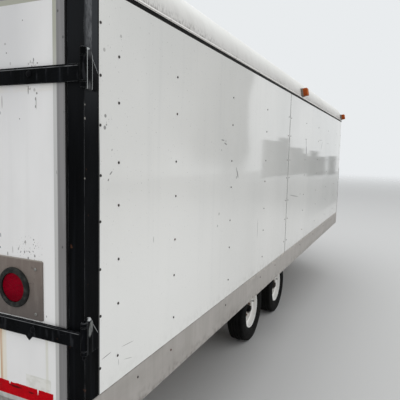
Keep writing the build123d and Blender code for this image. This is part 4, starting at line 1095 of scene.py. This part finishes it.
def make_tape():
    """Red and white tape strips on both doors, torn and scuffed."""
    for (side, sign), seed in zip(SIDES, (37, 38)):
        rng = random.Random(seed)
        for colour, slot in TAPE_SLOTS.items():
            bm = bmesh.new()
            for start, end, run_colour in TAPE_RUNS:
                if run_colour == colour:
                    prism(bm, tape_outline(start, end, sign, rng), (0, SINK - TAPE_THICK, 0))
            piece(f"tape_{colour}_{side}", bm, tape_film(colour, side, sign), f"door_{side}", 20)


# Tyre section from the edge of the tread round to the hollow inside: distance from the wheel's middle
# plane and radius
TYRE_SIDE = (
    (0.0655, 0.258), (0.069, 0.2515), (0.069, 0.248), (0.0725, 0.24), (0.0758, 0.229), (0.0775, 0.214),
    (0.0775, 0.206), (0.0765, 0.205), (0.0758, 0.196), (0.072, 0.183), (0.0655, 0.172), (0.065, 0.17),
    (0.061, 0.164), (0.0528, 0.16), (0.0528, 0.1465), (0.044, 0.1465), (0.044, 0.162), (0.06, 0.186),
    (0.066, 0.212), (0.058, 0.239), (0.03, 0.25),
)
TREAD_TOP, TREAD_EDGE, TREAD_EDGE_DROP = 0.2698, 0.06, 0.004
GROOVE_XS = (0.0125, 0.0375)
GROOVE_DEPTH, GROOVE_HALF, GROOVE_FLOOR_HALF = 0.0065, 0.0035, 0.0025
# Shoulder lugs: pitches round the tyre, depth of the slots, where in a pitch a lug starts and ends and a
# slot's floor starts and ends, and how far the ribs lean aside there
PITCHES = 66
SLOT_DEPTH = 0.8 * GROOVE_DEPTH
LUG_SHARES = (0, 0.74, 0.78, 0.96)
RIB_WAVE = (-0.0016, 0.0016, 0.0016, -0.0016)


def tyre_section():
    """The tyre's section: distance from the middle plane, radius and whether it is a lug of the shoulder."""
    half = [(0, 0, False)]
    for centre in GROOVE_XS:
        half += [(centre - GROOVE_HALF, 0, False), (centre - GROOVE_FLOOR_HALF, GROOVE_DEPTH, False),
                 (centre + GROOVE_FLOOR_HALF, GROOVE_DEPTH, False), (centre + GROOVE_HALF, 0, False)]
    half += [(half[-1][0] + 0.0004, 0, True), (TREAD_EDGE, 0, True)]
    half = [(x, TREAD_TOP - TREAD_EDGE_DROP * (x / TREAD_EDGE) ** 2 - deep, lug) for x, deep, lug in half]
    half += [(x, radius, (x, radius) == TYRE_SIDE[0]) for x, radius in TYRE_SIDE]
    return [(-x, radius, lug) for x, radius, lug in reversed(half[1:])] + half


def make_tyre(side, end, rubber):
    """A tyre with ribs, shoulder lugs, sidewall rings and a hollow inside, in place of the plain one."""
    middle = sum(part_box(f"wheel_{side}_{end}_tyre"), Vector()) / 2
    bm = bmesh.new()
    rings = []
    for k in range(PITCHES * len(LUG_SHARES)):
        pitch, step = divmod(k, len(LUG_SHARES))
        angle = math.tau * (pitch + LUG_SHARES[step]) / PITCHES
        rings.append([])
        for x, radius, lug in tyre_section():
            if lug and step >= 2:
                radius -= SLOT_DEPTH
            if abs(x) < 0.045 and radius > 0.255:
                x += RIB_WAVE[step]
            place = Vector((x, radius * math.cos(angle), radius * math.sin(angle)))
            rings[-1].append(bm.verts.new(middle + place))
    for first, second in zip(rings, rings[1:] + rings[:1]):
        bridge(bm, first, second)
    tyre = piece(f"tyre_{side}_{end}", bm, rubber, f"wheel_{side}_{end}", 32)
    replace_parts(tyre, f"wheel_{side}_{end}_tyre")


# Lug nuts: how many, and the radius of their circle; stud and valve stem as (radius, height)
NUT_COUNT, NUT_CIRCLE = 5, 0.057
STUD = ((0, 0.013), (0.0055, 0.013), (0.0055, 0.019), (0.0045, 0.02), (0, 0.02))
VALVE_STEM = ((0, 0), (0.007, 0), (0.006, 0.006), (0.0038, 0.009), (0.0036, 0.026), (0.0042, 0.027),
              (0.0042, 0.036), (0, 0.037))


def make_wheel_hardware(side, sign, end, metal, rubber):
    """Five lug nuts with their stud ends on the face of the disc, and the valve stem."""
    wheel = f"wheel_{side}_{end}"
    centre = sum(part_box(f"{wheel}_rim"), Vector()) / 2
    face = max(abs(v.co.x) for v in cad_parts[f"{wheel}_rim"].data.vertices
               if 0.03 < math.hypot(v.co.y - centre.y, v.co.z - centre.z) < 0.075)
    bm = bmesh.new()
    for k in range(NUT_COUNT):
        angle = math.tau * (k + 0.3) / NUT_COUNT
        out, up = NUT_CIRCLE * math.cos(angle), NUT_CIRCLE * math.sin(angle)
        local = facing((sign * face, centre.y + out, centre.z + up), (sign, 0, 0), 0.2 * k)
        hex_bolt(bm, local, 0.019, 0.014, 1.15)
        turned(bm, STUD, local, 12)
    piece(f"lug_nuts_{side}_{end}", bm, metal, wheel)
    bm = bmesh.new()
    place = (sign * (face - 0.004), centre.y + 0.1085, centre.z + 0.03)
    turned(bm, VALVE_STEM, facing(place, (sign, 0.25, 0.06)), 12)
    piece(f"valve_{side}_{end}", bm, rubber, wheel)


# U-bolts round an axle: its radius, the wire's radius, their offset beside the spring, the tie plate's
# foot and thickness, its reach across and along, and how far the threads stand up
AXLE_RADIUS, WIRE, CLEARANCE = 0.03, 0.006, 0.0003
U_BOLT_OFFSET = 0.0285
TIE_FOOT, TIE_THICK = AXLE_Z + 0.0595, 0.008
TIE_HALF_X, TIE_HALF_Y = 0.042, 0.052
THREAD_TOP = TIE_FOOT + 0.03
SPRING_INSET = 0.03


def make_spring_hardware(metal):
    """U-bolts round the axles, with tie plates and nuts on top of the springs."""
    spring_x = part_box("main_rails")[1].x - SPRING_INSET
    reach = AXLE_RADIUS + WIRE + CLEARANCE
    for end, axle_y in AXLE_YS.items():
        bm = bmesh.new()
        for _, sign in SIDES:
            for x in (sign * spring_x - U_BOLT_OFFSET, sign * spring_x + U_BOLT_OFFSET):
                path = [(-reach, THREAD_TOP), (-reach, AXLE_Z + 0.02)]
                path += [(reach * math.cos(a), AXLE_Z + reach * math.sin(a))
                         for a in (math.pi * (1 + k / 12) for k in range(13))]
                path += [(reach, AXLE_Z + 0.02), (reach, THREAD_TOP)]
                bar(bm, [(x, axle_y + y, z) for y, z in path], [WIRE] * len(path), 10)
                for way in (-reach, reach):
                    local = facing((x, axle_y + way, TIE_FOOT + TIE_THICK), (0, 0, 1), 0.3)
                    hex_bolt(bm, local, 0.018, 0.012, 1.3)
            plate = [(sign * spring_x + across * TIE_HALF_X, axle_y + along * TIE_HALF_Y, TIE_FOOT)
                     for across, along in ((-1, -1), (1, -1), (1, 1), (-1, 1))]
            prism(bm, plate, (0, 0, TIE_THICK), 0.0015)
        piece(f"axle_u_bolts_{end}", bm, metal, "trailer")


# Raised lozenges of the stone guard: spacing, half length, half width and rise, and their faces from four
# corners and the two ends of the ridge
LOZENGE_SPACING, LOZENGE_HALF_LONG, LOZENGE_HALF_WIDE, LOZENGE_RISE = 0.031, 0.0125, 0.003, 0.0019
LOZENGE_FACES = ((0, 1, 2, 3), (0, 1, 4), (3, 0, 4), (1, 2, 5), (2, 3, 5), (1, 5, 4), (3, 4, 5))
GUARD_EDGE = 0.02


def make_tread_plate(metal):
    """Raised lozenges of the stone guard, each turned the other way from its neighbours."""
    low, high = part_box("rock_guard")
    start = CORNER_Y + 0.012
    length = (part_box("nose_cap")[0].y - start) * math.sqrt(2)
    for side, sign in SIDES:
        bm = bmesh.new()
        outward = Vector((sign, 1, 0)).normalized()
        ahead = Vector((-sign, 1, 0)).normalized()
        origin = Vector((sign * (WALL_X - 0.012 + 0.003 * math.sqrt(2)), start, low.z + GUARD_EDGE))
        for across in range(int(length / LOZENGE_SPACING)):
            for up in range(int((high.z - low.z - GUARD_EDGE) / LOZENGE_SPACING)):
                turn = math.pi / 4 * (1 if (across + up) % 2 else -1)
                centre = origin + LOZENGE_SPACING * ((across + 0.5) * ahead + Vector((0, 0, up + 0.5)))
                along = ahead * math.cos(turn) + Vector((0, 0, math.sin(turn)))
                tip = LOZENGE_HALF_LONG * along
                flank = LOZENGE_HALF_WIDE * along.cross(outward)
                ridge = outward * LOZENGE_RISE
                corners = [bm.verts.new(centre + way) for way in
                           (tip, flank, -tip, -flank, ridge + 0.6 * tip, ridge - 0.6 * tip)]
                for face in LOZENGE_FACES:
                    bm.faces.new([corners[k] for k in face])
        piece(f"tread_plate_{side}", bm, metal, "trailer", 10)


make_camera()
make_world()
make_lamp()
make_floor()
make_flags()

side_skin()
nose_skin()
roof_skin()
trim_band()
rail_skin()
post_paint()
floor_wood()
grommet_rubber()
tail_lenses()
marker_lenses()
for side_name, side_sign in SIDES:
    door_skin(side_name, side_sign)
    door_edge(side_name, side_sign)
    strap_paint(side_name)
    lamp_plate(side_name)
    for end_name in ENDS:
        rim_paint(side_name, end_name)

chassis = black_paint("chassis_black", (20, 20, 21), 0.55, 0.12, 0.3)
chassis.done("main_rails", "cross_members", "axles", "tongue_frame")
black_paint("spring_steel", (46, 42, 39), 0.6, 0.35, 0.35).done("leaf_springs")
hubs = black_paint("hub_black", (14, 14, 15), 0.45, 0.1, 0.25)
hubs.done(*[f"wheel_{side}_{end}_hub" for side, _ in SIDES for end in ENDS])
bare_metal("coupler_zinc", (158, 158, 156), 0.4, "coupler", rust=0.18)
bare_metal("jack_zinc", (168, 168, 166), 0.38, "tongue_jack", rust=0.12)
bare_metal("bow_metal", (170, 168, 164), 0.45, "roof_bows", rust=0.03, metallic=0.5)
zinc = bare_metal("zinc_steel", (150, 149, 145), 0.42,
                  "door_right_lock_rod", "door_left_lock_rod", "lock_keepers", rust=0.16)
screw_metal = bare_metal("screw_dark", (66, 63, 61), 0.5, rust=0.3, metallic=0.3)
spring_metal = bare_metal("u_bolt_steel", (96, 90, 84), 0.5, rust=0.4, metallic=0.4)
bolt_paint = black_paint("bolt_black", (18, 18, 20), 0.35, 0.08).done()
sealant_paint = black_paint("sealant", (62, 58, 54), 0.7, 0).done()
rubber_paint = tyre_rubber()

make_screws(screw_metal)
make_hinges(hinge_paint())
make_seams(sealant_paint)
make_door_hardware(zinc, bolt_paint)
make_tape()
for side_name, side_sign in SIDES:
    for end_name in ENDS:
        make_tyre(side_name, end_name, rubber_paint)
        make_wheel_hardware(side_name, side_sign, end_name, spring_metal, rubber_paint)
make_spring_hardware(spring_metal)
make_spring_nuts(spring_metal)
make_guide_bolts(zinc)
make_tongue_fasteners(zinc, spring_metal)
make_tread_plate(guard_metal())

bpy.context.scene.view_settings.view_transform = "Standard"
